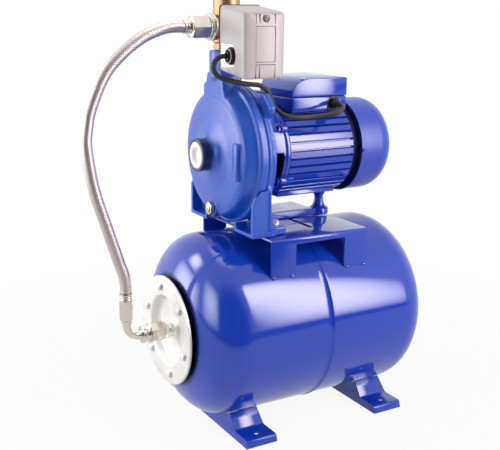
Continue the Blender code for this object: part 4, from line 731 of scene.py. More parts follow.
def swept(path, radius, around=24, swell=None):
    """A tube along a path as a bmesh, with a UV of turns round it and metres along it."""
    shape = bmesh.new()
    uv = shape.loops.layers.uv.new("UVMap")
    tangent = (path[1] - path[0]).normalized()
    side = tangent.orthogonal().normalized()
    rings = []
    run = [0.0]
    for i, point in enumerate(path):
        ahead = path[min(i + 1, len(path) - 1)] - path[max(i - 1, 0)]
        new_tangent = ahead.normalized()
        side = (tangent.rotation_difference(new_tangent) @ side).normalized()
        tangent = new_tangent
        up = tangent.cross(side)
        if i:
            run.append(run[-1] + (point - path[i - 1]).length)
        size = radius if swell is None else radius * swell(run[-1])
        ring = []
        for k in range(around):
            angle = 2 * math.pi * k / around
            ring.append(shape.verts.new(point + (side * math.cos(angle) + up * math.sin(angle)) * size))
        rings.append(ring)
    for i in range(len(rings) - 1):
        for k in range(around):
            j = (k + 1) % around
            face = shape.faces.new((rings[i][k], rings[i][j], rings[i + 1][j], rings[i + 1][k]))
            places = ((k, i), (k + 1, i), (k + 1, i + 1), (k, i + 1))
            for loop, (turn, step) in zip(face.loops, places):
                loop[uv].uv = (turn / around, run[step])
    shape.faces.new(rings[0][::-1])
    shape.faces.new(rings[-1])
    return shape


def circle(radius, count=48, middle=(0.0, 0.0), phase=0.0):
    """The corners of a regular polygon, or a circle by many of them."""
    step = 2 * math.pi / count
    return [on_circle(middle, radius, phase + i * step) for i in range(count)]


def arc(middle, radius, start, end, count):
    """Points along part of a circle, between two angles in degrees."""
    angles = [start + (end - start) * i / count for i in range(count + 1)]
    return [on_circle(middle, radius, math.radians(angle)) for angle in angles]


def radial_outline(middle, angle, points):
    """An outline along a direction, from its (distance outwards, distance sideways) pairs."""
    along = Vector((math.cos(angle), math.sin(angle)))
    side = Vector((-along.y, along.x))
    return [tuple(Vector(middle) + along * out + side * off) for out, off in points]


def beside_pump(side, near, far):
    """The two Y places on one side of the pump's axis, in rising order."""
    return sorted((PUMP_Y + side * near, PUMP_Y + side * far))


def mirrored(line):
    """An outline's other half, in reverse order."""
    return [(-a, b) for a, b in reversed(line)]


def rounded_rectangle(low, high, radius):
    """A rectangle's outline with rounded corners, worked out at +1, where rounded() takes them all."""
    corners = [(low[0], low[1]), (high[0], low[1]), (high[0], high[1]), (low[0], high[1])]
    line = rounded([(a + 1.0, b + 1.0) for a, b in corners], radius, 6)
    return [(a - 1.0, b - 1.0) for a, b in line]


def slot_cutter(plane, low, high, radius, start, end):
    """A rounded rectangle extruded from start to end."""
    return outline_solid([rounded_rectangle(low, high, radius)], plane, start, end)


def rounded_box(low, high, radius, segments=4):
    """A box with its edges rounded."""
    return bevelled(block(low, high), radius, segments)


def lump(middle, sizes):
    """A small rounded blob, such as a weld dab."""
    shape = bmesh.new()
    bmesh.ops.create_icosphere(shape, subdivisions=3, radius=1.0)
    bmesh.ops.scale(shape, vec=sizes, verts=shape.verts)
    for vertex in shape.verts:
        place = vertex.co * 900.0
        vertex.co *= 1.0 + 0.06 * math.sin(place.x + 2.0 * place.z) * math.cos(place.y)
    bmesh.ops.translate(shape, vec=middle, verts=shape.verts)
    return shape


def chamfered_hex(axis, start, end, across_flats, across, phase=math.pi / 6):
    """A hexagon head or nut whose corners are turned off at its ends."""
    plane = {"x": "yz", "y": "xz", "z": "xy"}[axis]
    corner = across_flats / math.sqrt(3)
    flat = across_flats / 2 * 0.97
    drop = (corner - flat) * 0.5
    body = outline_solid([circle(corner, 6, across, phase)], plane, start, end)
    profile = [(start, 0), (start, flat), (start + drop, corner), (end - drop, corner), (end, flat), (end, 0)]
    keep = lathe(profile, axis, across, 48, closed=False)
    return carved(body, keep, operation="INTERSECT")


def tank_round(radius):
    """A round bar along the tank, to cut what follows it."""
    return cylinder("x", -0.19, 0.19, radius, (0.0, TANK_Z), 160)


# Camera


def make_camera():
    """The photograph's camera."""
    data = bpy.data.cameras.new("camera")
    data.sensor_width = 36.0
    data.lens = LENS_MM
    data.clip_start = 0.05
    data.clip_end = 30.0
    camera = bpy.data.objects.new("camera", data)
    bpy.context.scene.collection.objects.link(camera)
    level = math.cos(CAMERA_ELEVATION)
    back = Vector((
        math.sin(CAMERA_AZIMUTH) * level, -math.cos(CAMERA_AZIMUTH) * level, math.sin(CAMERA_ELEVATION),
    ))
    right = (-back).cross(Vector((0, 0, 1))).normalized()
    up = right.cross(-back)
    rolled_right = math.cos(CAMERA_ROLL) * right + math.sin(CAMERA_ROLL) * up
    rolled_up = -math.sin(CAMERA_ROLL) * right + math.cos(CAMERA_ROLL) * up
    turn = Matrix((rolled_right, rolled_up, back)).transposed().to_4x4()
    camera.matrix_world = Matrix.Translation(CAMERA_PLACE) @ turn
    bpy.context.scene.camera = camera


make_camera()


# Free lines


def row_points(path):
    """The points of a path in the row frame."""
    return [tuple(point + Vector((SET_X, 0, 0))) for point in path]


def make_hose():
    """The braided hose from the tank's elbow up to the five-way fitting."""
    path = smooth_path(HOSE_ROUTE, 0.0035)
    hose = refine("braided_hose", swept(path, HOSE_R, 40), "braid", smooth=50.0)
    world = row_points(path)
    path_length(path)


def make_lead():
    """The black lead from the switch's grommet down to the terminal box's gland."""
    path = smooth_path(LEAD_ROUTE, 0.004)
    lead = refine("switch_lead", swept(path, LEAD_R, 20), "rubber", smooth=50.0)
    world = row_points(path)
    path_length(path)


make_hose()
make_lead()


# Tank


NECK_X = -0.1982
NECK_R = 0.071
SEAM_HALF = 0.0032
BODY_RINGS = 16


def dome_point(turn):
    """A point of the dome's outline, from 0 at the body to 1 at the tip."""
    angle = turn * math.pi / 2
    power = 2 / DOME_POWER
    return TANK_HALF + DOME_DEPTH * math.sin(angle) ** power, TANK_R * max(math.cos(angle), 0.0) ** power


def dome_run(radius, count):
    """The dome's outline from the body in to a radius."""
    last = math.acos((radius / TANK_R) ** (DOME_POWER / 2)) * 2 / math.pi
    return [dome_point(last * (i / count)) for i in range(count + 1)]


def body_run(side):
    """The straight part of one half of the tank."""
    steps = [SEAM_HALF + (TANK_HALF - SEAM_HALF) * i / BODY_RINGS for i in range(BODY_RINGS)]
    return [(side * along, TANK_R) for along in steps]


def make_tank():
    """Both pressed shells. The front one carries the weld bead and the neck."""
    inner = TANK_R - TANK_WALL
    profile = [
        (-0.0002, TANK_R + 0.0015), (-0.0012, TANK_R + 0.0014), (-0.0022, TANK_R + 0.0008),
        (-0.0030, TANK_R + 0.0001),
    ]
    profile += body_run(-1) + [(-x, r) for x, r in dome_run(NECK_R, 40)]
    profile += [
        (NECK_X, NECK_R), (NECK_X, 0.0583), (NECK_X + 0.0035, 0.0583), (NECK_X + 0.0035, 0.0562),
        (-0.186, 0.0562), (-0.186, 0.073), (-TANK_HALF, inner), (-0.0002, inner),
    ]
    front = lathe(profile, across=TANK_AXIS, steps=192)
    refine("tank_front_shell", front, "gloss_blue", name="tank_front_fine", look=TANK_PAINT)
    dome = dome_run(0.009, 48)
    seat = dome[-1][0] + 0.002
    profile = [(0.0002, TANK_R - 0.0001), (0.0030, TANK_R)] + body_run(1) + dome
    profile += [
        (seat, 0.009), (seat, 0.0045), (seat - 0.005, 0.0045), (0.195, 0.030), (TANK_HALF, inner),
        (0.0002, inner),
    ]
    rear = lathe(profile, across=TANK_AXIS, steps=192)
    refine("tank_rear_shell", rear, "gloss_blue", name="tank_rear_fine")


def make_flange():
    """The pressed zinc flange: a flat rim, a dish and a raised middle with its bore."""
    back = NECK_X - GAP
    front = back - 0.0045
    floor = front + 0.0125
    profile = [
        (front, 0.0786), (front + 0.0008, 0.0794), (back, 0.0794), (back, 0.0528), (floor, 0.0488),
        (floor + 0.0018, 0.0468), (floor + 0.0018, 0.005), (floor, 0.005), (floor, 0.009),
        (floor - 0.0065, 0.009), (floor - 0.0065, 0.0115), (floor, 0.0115), (floor, 0.045),
        (floor - 0.002, 0.047), (front + 0.002, 0.050), (front, 0.052),
    ]
    refine("tank_flange", lathe(rounded(profile, 0.0020, 5), across=TANK_AXIS, steps=160), "zinc")


# Feet and stand

FOOT_LINE = (
    (0.1250, 0.0000),
    (0.1238, 0.0098),
    (0.1205, 0.0115),
    (0.0900, 0.0115),
    (0.0878, 0.0121),
    (0.0862, 0.0138),
    (0.0662, 0.0368),
    (0.0560, 0.0390),
)
FOOT_HALF_W = 0.0251
FOOT_SHEET = 0.0025
FOOT_TAPER = 3.4


def tapered(shape, middle):
    """Narrows a foot from its base upwards."""
    for vertex in shape.verts:
        vertex.co.x = middle + (vertex.co.x - middle) * (1.0 - FOOT_TAPER * max(vertex.co.z, 0.0))
    return shape


def make_feet():
    """Two pressed saddles, hollow underneath, cut to the tank's round."""
    for name, node, middle in (
        ("foot_left_fine", "foot_flange_end", -0.1125),
        ("foot_right_fine", "foot_motor_end", 0.1125),
    ):
        ends = (middle - FOOT_HALF_W, middle + FOOT_HALF_W)
        line = rounded(list(FOOT_LINE), 0.0012, 3, closed=False)
        shape = outline_solid([line + mirrored(line)], "yz", *ends)
        shape = tapered(bevelled(shape, 0.0020, 3, 50.0), middle)
        inner = [(y - FOOT_SHEET * 0.8, z - FOOT_SHEET) for y, z in FOOT_LINE]
        hollow = outline_solid([inner + mirrored(inner)], "yz", ends[0] + FOOT_SHEET, ends[1] - FOOT_SHEET)
        holes = [cylinder("z", -0.01, 0.02, 0.0037, (middle, side * 0.108), 32) for side in (-1, 1)]
        shape = carved(shape, tapered(hollow, middle), tank_round(TANK_R + GAP), *holes)
        refine(node, shape, "gloss_blue", name=name)


STAND_X0 = -0.0878
STAND_X1 = 0.0758
STAND_HALF = 0.103
STAND_Z = 0.290
STAND_SHEET = 0.003
STAND_BEND = 0.004
STAND_LEG = 0.040

# The hold-down bolts between bracket and stand
BOLT_PLACES = [(-0.059, PUMP_Y + side * 0.070) for side in (-1, 1)]
BOLT_BORE_R = 0.0043
SUPPORT_BOLT = (-0.038, PUMP_Y)


def make_stand():
    """One sheet folded over the tank, with its windows, slots, bolt holes and weld dabs."""
    corner = (STAND_HALF - STAND_BEND, STAND_Z - STAND_BEND)
    outer = [(STAND_HALF, 0.225)] + arc(corner, STAND_BEND, 0, 90, 10)
    inner = [(STAND_HALF - STAND_SHEET, 0.225)] + arc(corner, STAND_BEND - STAND_SHEET, 0, 90, 8)
    profile = outer + mirrored(outer) + [(-y, z) for y, z in inner] + inner[::-1]
    sheet = outline_solid([profile], "yz", STAND_X0, STAND_X1)
    sheet = bevelled(sheet, 0.0007, 2, 50.0)
    cutters = [
        slot_cutter("xz", (STAND_X0 + STAND_LEG, 0.15), (STAND_X1 - STAND_LEG, 0.281), 0.003, -0.2, 0.2),
        tank_round(TANK_R + GAP),
    ]
    for y0, y1 in ((-0.063, 0.001), (0.019, 0.083)):
        cutters.append(slot_cutter("xy", (0.0015, y0), (0.0085, y1), 0.0034, 0.28, 0.30))
    cutters += [cylinder("z", 0.28, 0.30, BOLT_BORE_R, place, 24) for place in BOLT_PLACES]
    sheet = carved(sheet, *cutters)
    foot_z = TANK_Z + math.sqrt(TANK_R**2 - STAND_HALF**2)
    dabs = []
    inset = STAND_LEG - 0.006
    for side in (-1, 1):
        for x in (STAND_X0 + 0.004, STAND_X0 + inset, STAND_X1 - inset, STAND_X1 - 0.004):
            middle = (x, side * (STAND_HALF - 0.0002), foot_z + 0.0002)
            dabs.append(lump(middle, (0.0046, 0.0024, 0.0026)))
    refine("pump_stand", merged(sheet, *dabs), "gloss_blue")


# Pump casing

PORT_X = -0.147
CASE_R = 0.1006
DISCHARGE_BASE_Z = 0.5114
DRAIN = (PUMP_Y, 0.318)


def tower_outline():
    """Front view of the discharge tower: a square shoulder on one side, a long sweep on the other."""
    sweep_middle = (PUMP_Y - 0.084, DISCHARGE_BASE_Z - 0.002)
    shoulder = [(PUMP_Y + 0.033, 0.440), (PUMP_Y + 0.033, 0.4955), (PUMP_Y + 0.025, 0.4985)]
    neck = [(PUMP_Y + 0.0222, DISCHARGE_BASE_Z), (PUMP_Y - 0.0222, DISCHARGE_BASE_Z)]
    return shoulder + neck + arc(sweep_middle, 0.060, 0, -47, 16)[1:] + [(PUMP_Y - 0.020, 0.440)]


def make_casing():
    """The volute casting: drum, discharge tower, drain boss, rib and the lip of the suction port."""
    drum = lathe([
        (PORT_X + 0.0005, 0.0212), (PORT_X + 0.0015, 0.0230), (-0.1320, 0.0233), (-0.1290, 0.0250),
        (-0.1268, 0.0300), (-0.1225, 0.0500), (-0.1196, 0.0792), (-0.1172, 0.0862), (-0.1143, 0.0892),
        (-0.1030, 0.0940), (-0.0998, 0.0962), (-0.0992, 0.1000), (-0.0980, 0.1006), (-0.0870, 0.1006),
        (-0.0860, 0.0996), (-0.0860, 0.0), (-0.1280, 0.0), (-0.1280, 0.0152), (-0.1433, 0.0152),
        (-0.1433, 0.0200), (PORT_X + 0.0005, 0.0200),
    ], across=PUMP_AXIS, steps=144)
    tower = bevelled(outline_solid([tower_outline()], "yz", -0.1180, -0.0867), 0.0035, 3, 50.0)
    neck = lathe([
        (0.4990, 0.0), (0.4990, 0.0190), (0.5035, 0.0232), (0.5060, 0.0240), (0.5413, 0.0240),
        (0.5423, 0.0231), (0.5423, 0.0),
    ], "z", TOWER, 72)
    drain = cylinder("x", -0.1213, -0.1110, 0.0125, DRAIN, 40)
    casting = cast_blend([drum, tower, neck, drain], 0.0014, 4)
    rib = rounded_box((-0.1248, -0.0675, 0.3692), (-0.1138, -0.0550, 0.4212), 0.0009, 3)
    lip = lathe(rounded([
        (PORT_X, 0.0197), (PORT_X, 0.0236), (PORT_X + 0.006, 0.0236), (PORT_X + 0.006, 0.0197),
    ], 0.0008, 3), across=PUMP_AXIS, steps=96)
    refine("pump_casing", merged(casting, rib, lip), "cast_blue", smooth=60.0)


def make_suction_cap():
    """The transport plug: a soft ring round a sunk middle."""
    face = PORT_X - 0.0006
    profile = rounded([
        (PORT_X + 0.0050, 0.0), (PORT_X + 0.0050, 0.0085), (face + 0.0030, 0.0100), (face, 0.0118),
        (face, 0.0182), (face + 0.0012, 0.0193), (PORT_X + 0.0032, 0.0193), (PORT_X + 0.0032, 0.0148),
        (PORT_X + 0.0110, 0.0148), (PORT_X + 0.0110, 0.0),
    ], 0.0016, 5)
    refine("suction_cap", lathe(profile, across=PUMP_AXIS, steps=96), "white", smooth=60.0)


def make_drain_plug():
    """A brass hexagon plug with a round boss on its front."""
    head = chamfered_hex("x", -0.1276, -0.1216, 0.017, DRAIN)
    boss = cylinder("x", -0.1292, -0.1270, 0.0058, DRAIN, 32)
    stem = cylinder("x", -0.1236, -0.1080, 0.0075, DRAIN, 32)
    refine("drain_plug", merged(head, bevelled(boss, 0.0006, 2), stem), "brass", look=BRIGHT_BRASS)


# Bracket between pump and motor

EAR_NEAR = 0.070
EAR_FAR = 0.1145
EAR_HALF = 0.017
EAR_CHAMFER = 0.006


def ear_outline(degrees):
    """A square lug on the bracket's flange, pointing outwards at an angle."""
    half = [(EAR_NEAR, EAR_HALF), (EAR_FAR - EAR_CHAMFER, EAR_HALF), (EAR_FAR, EAR_HALF * 0.72)]
    points = [(out, -off) for out, off in half] + half[::-1]
    return radial_outline(PUMP_AXIS, math.radians(degrees), points)


def bracket_leg(side):
    """One leg with its strut, the toe under the bolt and the ridge along its outer edge."""
    line = [
        (0.0945, 0.2904), (0.0945, 0.362), (0.086, 0.366), (0.047, 0.330), (0.043, 0.318), (0.041, 0.2904),
    ]
    leg = outline_solid([[(PUMP_Y + side * y, z) for y, z in line]], "yz", -0.108, -0.0662)
    y0, y1 = beside_pump(side, 0.0885, 0.047)
    pocket = block((-0.118, y0, 0.296), (-0.0890, y1, SHAFT_Z))
    clear = cylinder("x", -0.3, -0.0857, CASE_R + 0.0022, PUMP_AXIS, 144)
    leg = carved(leg, clear, pocket)
    strut = [
        (-0.109, 0.289), (-0.109, 0.336), (-0.102, 0.350), (-0.0900, 0.361), (-0.0860, 0.372),
        (-0.0780, 0.370), (-0.0780, 0.340), (-0.0776, 0.325), (-0.0756, 0.314), (-0.0700, 0.304),
        (-0.0690, 0.289),
    ]
    keep = outline_solid([strut], "xz", *beside_pump(side, 0.0950, 0.040))
    leg = carved(leg, keep, operation="INTERSECT")
    y0, y1 = beside_pump(side, 0.090, 0.049)
    toe = rounded_box((-0.070, y0, 0.2904), (-0.0505, y1, 0.302), 0.0015, 3)
    y0, y1 = beside_pump(side, 0.0958, 0.0918)
    ridge = rounded_box((-0.0818, y0, 0.300), (-0.0780, y1, 0.356), 0.0010, 2)
    return [leg, toe, ridge]


def make_bracket():
    """The casting between pump and motor: flange, ears and two legs."""
    ring = lathe([
        (-0.0857, 0.088), (-0.0857, 0.0992), (-0.0800, 0.0992), (-0.0800, 0.0900), (-0.0772, 0.0900),
        (-0.0772, 0.0975), (-0.0722, 0.0975), (-0.0715, 0.0900), (-0.0662, 0.0860), (-0.0662, 0.0175),
        (-0.0815, 0.0175), (-0.0815, 0.070), (-0.0857, 0.075),
    ], across=PUMP_AXIS, steps=144)
    shapes = [ring]
    for degrees in (45, 135):
        shapes.append(outline_solid([ear_outline(degrees)], "yz", -0.0790, -0.0705))
    for side in (-1, 1):
        shapes += bracket_leg(side)
    casting = cast_blend(shapes, 0.0013, 3)
    bores = [cylinder("z", 0.28, 0.32, BOLT_BORE_R, place, 24) for place in BOLT_PLACES]
    refine("pump_bracket", carved(casting, *bores), "cast_blue", smooth=60.0)


def hex_bolt(node, axis, start, end, across_flats, middle, shank_r, shank_end, washer_r):
    """A bolt: chamfered head, a washer face and its shank."""
    step = 0.0006 if start < end else -0.0006
    head = chamfered_hex(axis, min(start, end), max(start, end), across_flats, middle)
    shank = cylinder(axis, *sorted((start + step, shank_end)), shank_r, middle, 24)
    washer = cylinder(axis, *sorted((start, start + 2 * step)), washer_r, middle, 40)
    refine(node, merged(head, shank, washer), "zinc")


def make_bolts():
    """The two hold-down bolts and the motor support's bolt."""
    for tag, place in zip(("near", "far"), BOLT_PLACES):
        hex_bolt("stand_bolt_" + tag, "z", 0.3023, 0.3078, 0.013, place, 0.004, 0.280, 0.0082)
    hex_bolt("support_bolt", "z", 0.3008, 0.3048, 0.010, SUPPORT_BOLT, 0.003, 0.288, 0.0062)


# Motor

FIN_TIP_R = 0.0672
FIN_ROOT_R = 0.0605
FRAME_X0 = -0.0297
FRAME_X1 = 0.080
FIN_COUNT = 36
PAD_HALF_ANGLE = math.radians(28)
LUG_RING_R = 0.0633
EAR_RING_R = 0.0655


def frame_outline():
    """Section of the ribbed frame: broad flat ribs with narrow grooves, and a plain pad underneath."""
    points = []
    pitch = 2 * math.pi / FIN_COUNT
    side = (
        (0.352, FIN_TIP_R - 0.0005), (0.372, FIN_TIP_R - 0.0016), (0.388, 0.0630), (0.405, 0.0614),
        (0.440, FIN_ROOT_R),
    )
    rib = [(-share, r) for share, r in reversed(side)]
    for share in (-0.335, -0.300, 0.300, 0.335):
        rib.append((share, (FIN_TIP_R - 0.0003) / math.cos(share * pitch)))
    rib += side
    pad = [(share, FIN_TIP_R - 0.0006) for share in (-0.5, -0.25, 0.0, 0.25)]
    for i in range(FIN_COUNT):
        middle = i * pitch
        off_bottom = abs((middle - 0.5 * math.pi) % (2 * math.pi) - math.pi)
        for share, radius in pad if off_bottom < PAD_HALF_ANGLE else rib:
            points.append(on_circle(PUMP_AXIS, radius, middle + share * pitch))
    return points


def make_frame():
    """The ribbed frame with the seat of the terminal box, four lugs and the bed of the support."""
    shape = outline_solid([frame_outline(), circle(0.0505, 64, PUMP_AXIS)], "yz", FRAME_X0, FRAME_X1)
    seat = block((FRAME_X0 - 0.01, -0.2, 0.4562), (FRAME_X1 + 0.01, 0.2, 0.6))
    shape = carved(shape, seat)
    lugs = []
    for degrees in (213, 327):
        middle = on_circle(PUMP_AXIS, LUG_RING_R, math.radians(degrees))
        for low, high in ((FRAME_X0 + 0.0004, FRAME_X0 + 0.0125), (FRAME_X1 - 0.011, FRAME_X1 - 0.0004)):
            lugs.append(bevelled(cylinder("x", low, high, 0.0048, middle, 24), 0.0008, 2))
    half = [(-0.0290, 0.3300), (-0.0290, 0.3325), (-0.0236, 0.3425)]
    line = [(PUMP_Y + y, z) for y, z in half + mirrored(half)]
    bed = bevelled(outline_solid([line], "yz", -0.0270, 0.0735), 0.0006, 2)
    refine("motor_frame", merged(shape, bed, *lugs), "gloss_blue", smooth=40.0)


def make_front_shield():
    """The turned bell with its side windows, four ears and their screws."""
    bell = lathe(rounded([
        (-0.0657, 0.0600), (-0.0657, 0.0650), (-0.0400, 0.0655), (-0.0366, 0.0655), (-0.0352, 0.0670),
        (-0.0308, 0.0672), (-0.0302, 0.0660), (-0.0302, 0.0205), (-0.0360, 0.0205), (-0.0360, 0.0163),
        (-0.0483, 0.0163), (-0.0483, 0.0070), (-0.0510, 0.0070), (-0.0510, 0.0205), (-0.0400, 0.0225),
        (-0.0370, 0.0585), (-0.0420, 0.0605),
    ], 0.0016, 4), across=PUMP_AXIS, steps=128)
    cutters = []
    for side in (-1, 1):
        y0, y1 = beside_pump(side, 0.030, 0.08)
        cutters.append(rounded_box((-0.080, y0, 0.352), (-0.0395, y1, 0.4015), 0.004, 3))
    bell = carved(bell, *cutters)
    bell = bevelled(bell, 0.0007, 2, 55.0)
    ears = []
    for degrees in (215, 325, 35, 145):
        middle = on_circle(PUMP_AXIS, EAR_RING_R, math.radians(degrees))
        ears.append(bevelled(cylinder("x", -0.042, -0.0302, 0.0060, middle, 40), 0.0012, 3))
        ears.append(chamfered_hex("x", -0.0452, -0.0415, 0.0080, middle))
    refine("front_shield", merged(bell, *ears), "gloss_blue", look=BELL_PAINT)


def make_rear_shield():
    """The black end shield between frame and fan cover."""
    profile = rounded([
        (0.0803, 0.0163), (0.0803, 0.0612), (0.0812, 0.0620), (0.0915, 0.0620), (0.0918, 0.0693),
        (0.0985, 0.0693), (0.0985, 0.0560), (0.0945, 0.0215), (0.0945, 0.0070), (0.0913, 0.0070),
        (0.0913, 0.0163),
    ], 0.0008, 3)
    # Its finish is painted shade: blue darkened near black.
    refine("rear_shield", lathe(profile, across=PUMP_AXIS, steps=128), "black", look=SHIELD_SHADE)


COVER_X0 = 0.093
COVER_X1 = 0.160
COVER_R = 0.0714
COVER_ROUND = 0.030
COVER_WALL = 0.0016
COVER_STEPS = 24
SLOT_HALF = 0.0019
SLOT_RINGS = ((0.012, 0.0235, 10), (0.0275, 0.0385, 16))


def cover_line(inset):
    """Half section of the fan cover: a rolled rim, a straight skirt and a soft round into the flat end."""
    radius = COVER_R - inset
    end = COVER_X1 - inset
    corner_x = COVER_X1 - COVER_ROUND
    corner_r = COVER_R - COVER_ROUND
    run = [(COVER_X0, radius), (COVER_X0 + 0.0048, radius), (COVER_X0 + 0.0060, radius - 0.0009)]
    skirt = radius - 0.0009 - corner_r
    for i in range(COVER_STEPS + 1):
        angle = math.radians(90 * i / COVER_STEPS)
        run.append((corner_x + (end - corner_x) * math.sin(angle), corner_r + skirt * math.cos(angle)))
    return run + [(end, 0.030), (end, 0.015), (end, 0.0)]


def slot_outline(angle, inner, outer):
    """One slot of the rosette: it widens outwards and ends in a blunt tip."""
    half = [
        (inner, SLOT_HALF), (outer, SLOT_HALF * 1.3), (outer + SLOT_HALF, SLOT_HALF * 0.3),
    ]
    points = half + [(out, -off) for out, off in reversed(half)]
    return radial_outline(PUMP_AXIS, angle, points)


def make_fan_cover():
    """The deep drawn cover with two rings of slots and its three screws."""
    shape = lathe(cover_line(0.0) + cover_line(COVER_WALL)[::-1], across=PUMP_AXIS, steps=144)
    cutters = []
    for ring, (inner, outer, count) in enumerate(SLOT_RINGS):
        for i in range(count):
            outline = slot_outline(2 * math.pi * (i + 0.5 * ring) / count, inner, outer)
            cutters.append(outline_solid([outline], "yz", COVER_X1 - 0.02, COVER_X1 + 0.01))
    shape = carved(shape, merged(*cutters))
    screws = []
    for degrees in (60, 180, 300):
        middle = on_circle(PUMP_AXIS, COVER_R - 0.0004, math.radians(degrees))
        screws.append(lump((COVER_X0 + 0.0026, *middle), (0.0030, 0.0030, 0.0030)))
    refine("fan_cover", merged(shape, *screws), "gloss_blue", look=SATIN, smooth=30.0)


# Terminal box

BOX_X0 = -0.022
BOX_X1 = 0.0728
BOX_Y0 = PUMP_Y - 0.055
BOX_Y1 = PUMP_Y + 0.055
BOX_Z0 = 0.4565
BOX_SEAM = 0.4775
BOX_Z1 = 0.5037
BOX_WALL = 0.0025
LID_WALL = 0.0036
GLAND = (0.049, 0.4665)
ARCH_R = 0.0112


def lid_outline(inset):
    """The lid seen from the side, drawn in by an inset: a long chamfer at the pump's end."""
    low = BOX_SEAM - 0.02 if inset else BOX_SEAM + GAP
    x0 = BOX_X0 + inset
    x1 = BOX_X1 - inset
    top = BOX_Z1 - inset
    slope = BOX_Z1 - inset * 0.3
    return [
        (x0, low), (x0, slope - 0.0165), (x0 + 0.008, slope - 0.007), (x0 + 0.019, top - 0.0022),
        (x0 + 0.034, top), (x1 - 0.002, top), (x1, top - 0.002), (x1, low),
    ]


def corner_cut(out, reach_y, reach_x, low, high):
    """The wedge that takes off the box's far corner at the pump's end."""
    x0 = BOX_X0 - out
    y1 = BOX_Y1 + out
    return outline_solid([[(x0, y1), (x0, BOX_Y1 - reach_y), (BOX_X0 + reach_x, y1)]], "xy", low, high)


def make_terminal_box():
    """Tray, gland plate, lid and the lid's screws."""
    tray = rounded_box((BOX_X0, BOX_Y0, BOX_Z0), (BOX_X1, BOX_Y1, BOX_SEAM), 0.0030, 4)
    low = (BOX_X0 + BOX_WALL, BOX_Y0 + BOX_WALL, BOX_Z0 + BOX_WALL)
    hollow = block(low, (BOX_X1 - BOX_WALL, BOX_Y1 - BOX_WALL, 0.6))
    wall = (BOX_Y0 - 0.01, BOX_Y0 + 0.01)
    tray = carved(tray, hollow, cylinder("y", *wall, 0.0052, GLAND, 32))
    refine("terminal_box", tray, "gloss_blue")
    line = arc(GLAND, ARCH_R, 0, 180, 20) + [(GLAND[0] + side * ARCH_R, BOX_Z0 + 0.001) for side in (-1, 1)]
    arch = outline_solid([line], "xz", BOX_Y0 - 0.0004, BOX_Y0 + 0.002)
    arch = carved(arch, cylinder("y", *wall, 0.0073, GLAND, 40))
    detail("gland_plate_fine", bevelled(arch, 0.0003, 2), "black")
    lid = outline_solid([lid_outline(0.0)], "xz", BOX_Y0, BOX_Y1)
    corner = corner_cut(0.01, 0.028, 0.046, BOX_SEAM + 0.0025, BOX_Z1 + 0.01)
    lid = bevelled(carved(lid, corner), 0.0026, 4, 50.0)
    inside = outline_solid([lid_outline(LID_WALL)], "xz", BOX_Y0 + LID_WALL, BOX_Y1 - LID_WALL)
    liner = corner_cut(0.02, 0.039, 0.061, BOX_SEAM - 0.03, BOX_Z1 + 0.02)
    refine("terminal_lid", carved(lid, carved(inside, liner)), "gloss_blue")
    low = BOX_Z1 - 0.0009
    high = BOX_Z1 - 0.0001
    profile = rounded([(low, 0.0), (low, 0.0034), (high, 0.0034), (high, 0.0)], 0.0004, 2)
    screws = [lathe(profile, "z", place, 24) for place in ((0.000, -0.037), (0.064, -0.037), (0.064, 0.057))]
    detail("lid_screws", merged(*screws), "zinc")


def make_gland():
    """The black gland that the lead goes into."""
    profile = rounded([
        (BOX_Y0 + 0.0035, 0.0048), (BOX_Y0 - GAP, 0.0048), (BOX_Y0 - GAP, 0.0072), (BOX_Y0 - 0.0050, 0.0072),
        (BOX_Y0 - 0.0110, 0.0050), (BOX_Y0 - 0.0110, 0.0036), (BOX_Y0 + 0.0035, 0.0036),
    ], 0.0006, 3)
    refine("box_gland", lathe(profile, "y", GLAND, 48), "black")


def make_support():
    """The bar on the stand and the waisted post under the motor."""
    bar = rounded_box((-0.0495, 0.001, 0.2904), (0.0665, 0.019, 0.3005), 0.0014, 3)
    bar = carved(bar, cylinder("z", 0.28, 0.32, 0.0033, SUPPORT_BOLT, 24))
    post = lathe([
        (0.2904, 0.0), (0.2904, 0.0142), (0.2912, 0.0150), (0.2985, 0.0150), (0.3000, 0.0140),
        (0.3020, 0.0108), (0.3060, 0.0086), (0.3130, 0.0070), (0.3180, 0.0066), (0.3210, 0.0080),
        (0.3260, 0.0106), (0.3282, 0.0119), (0.3290, 0.0120), (0.3298, 0.0112), (0.3298, 0.0),
    ], "z", (0.0665, PUMP_Y), 64)
    line = [(0.0665, 0.0), (0.0810, 0.0035), (0.0810, 0.0165), (0.0665, 0.020)]
    ear = outline_solid([line], "xy", 0.2906, 0.2995)
    refine("motor_support", merged(bar, post, bevelled(ear, 0.0012, 2)), "gloss_blue")


# Fittings over the discharge

HOSE_PORT_Z = 0.574
SMALL_PORT_Z = 0.566
HOSE_FOOT = (-0.2618, 0.0)
ELBOW_R = 0.019


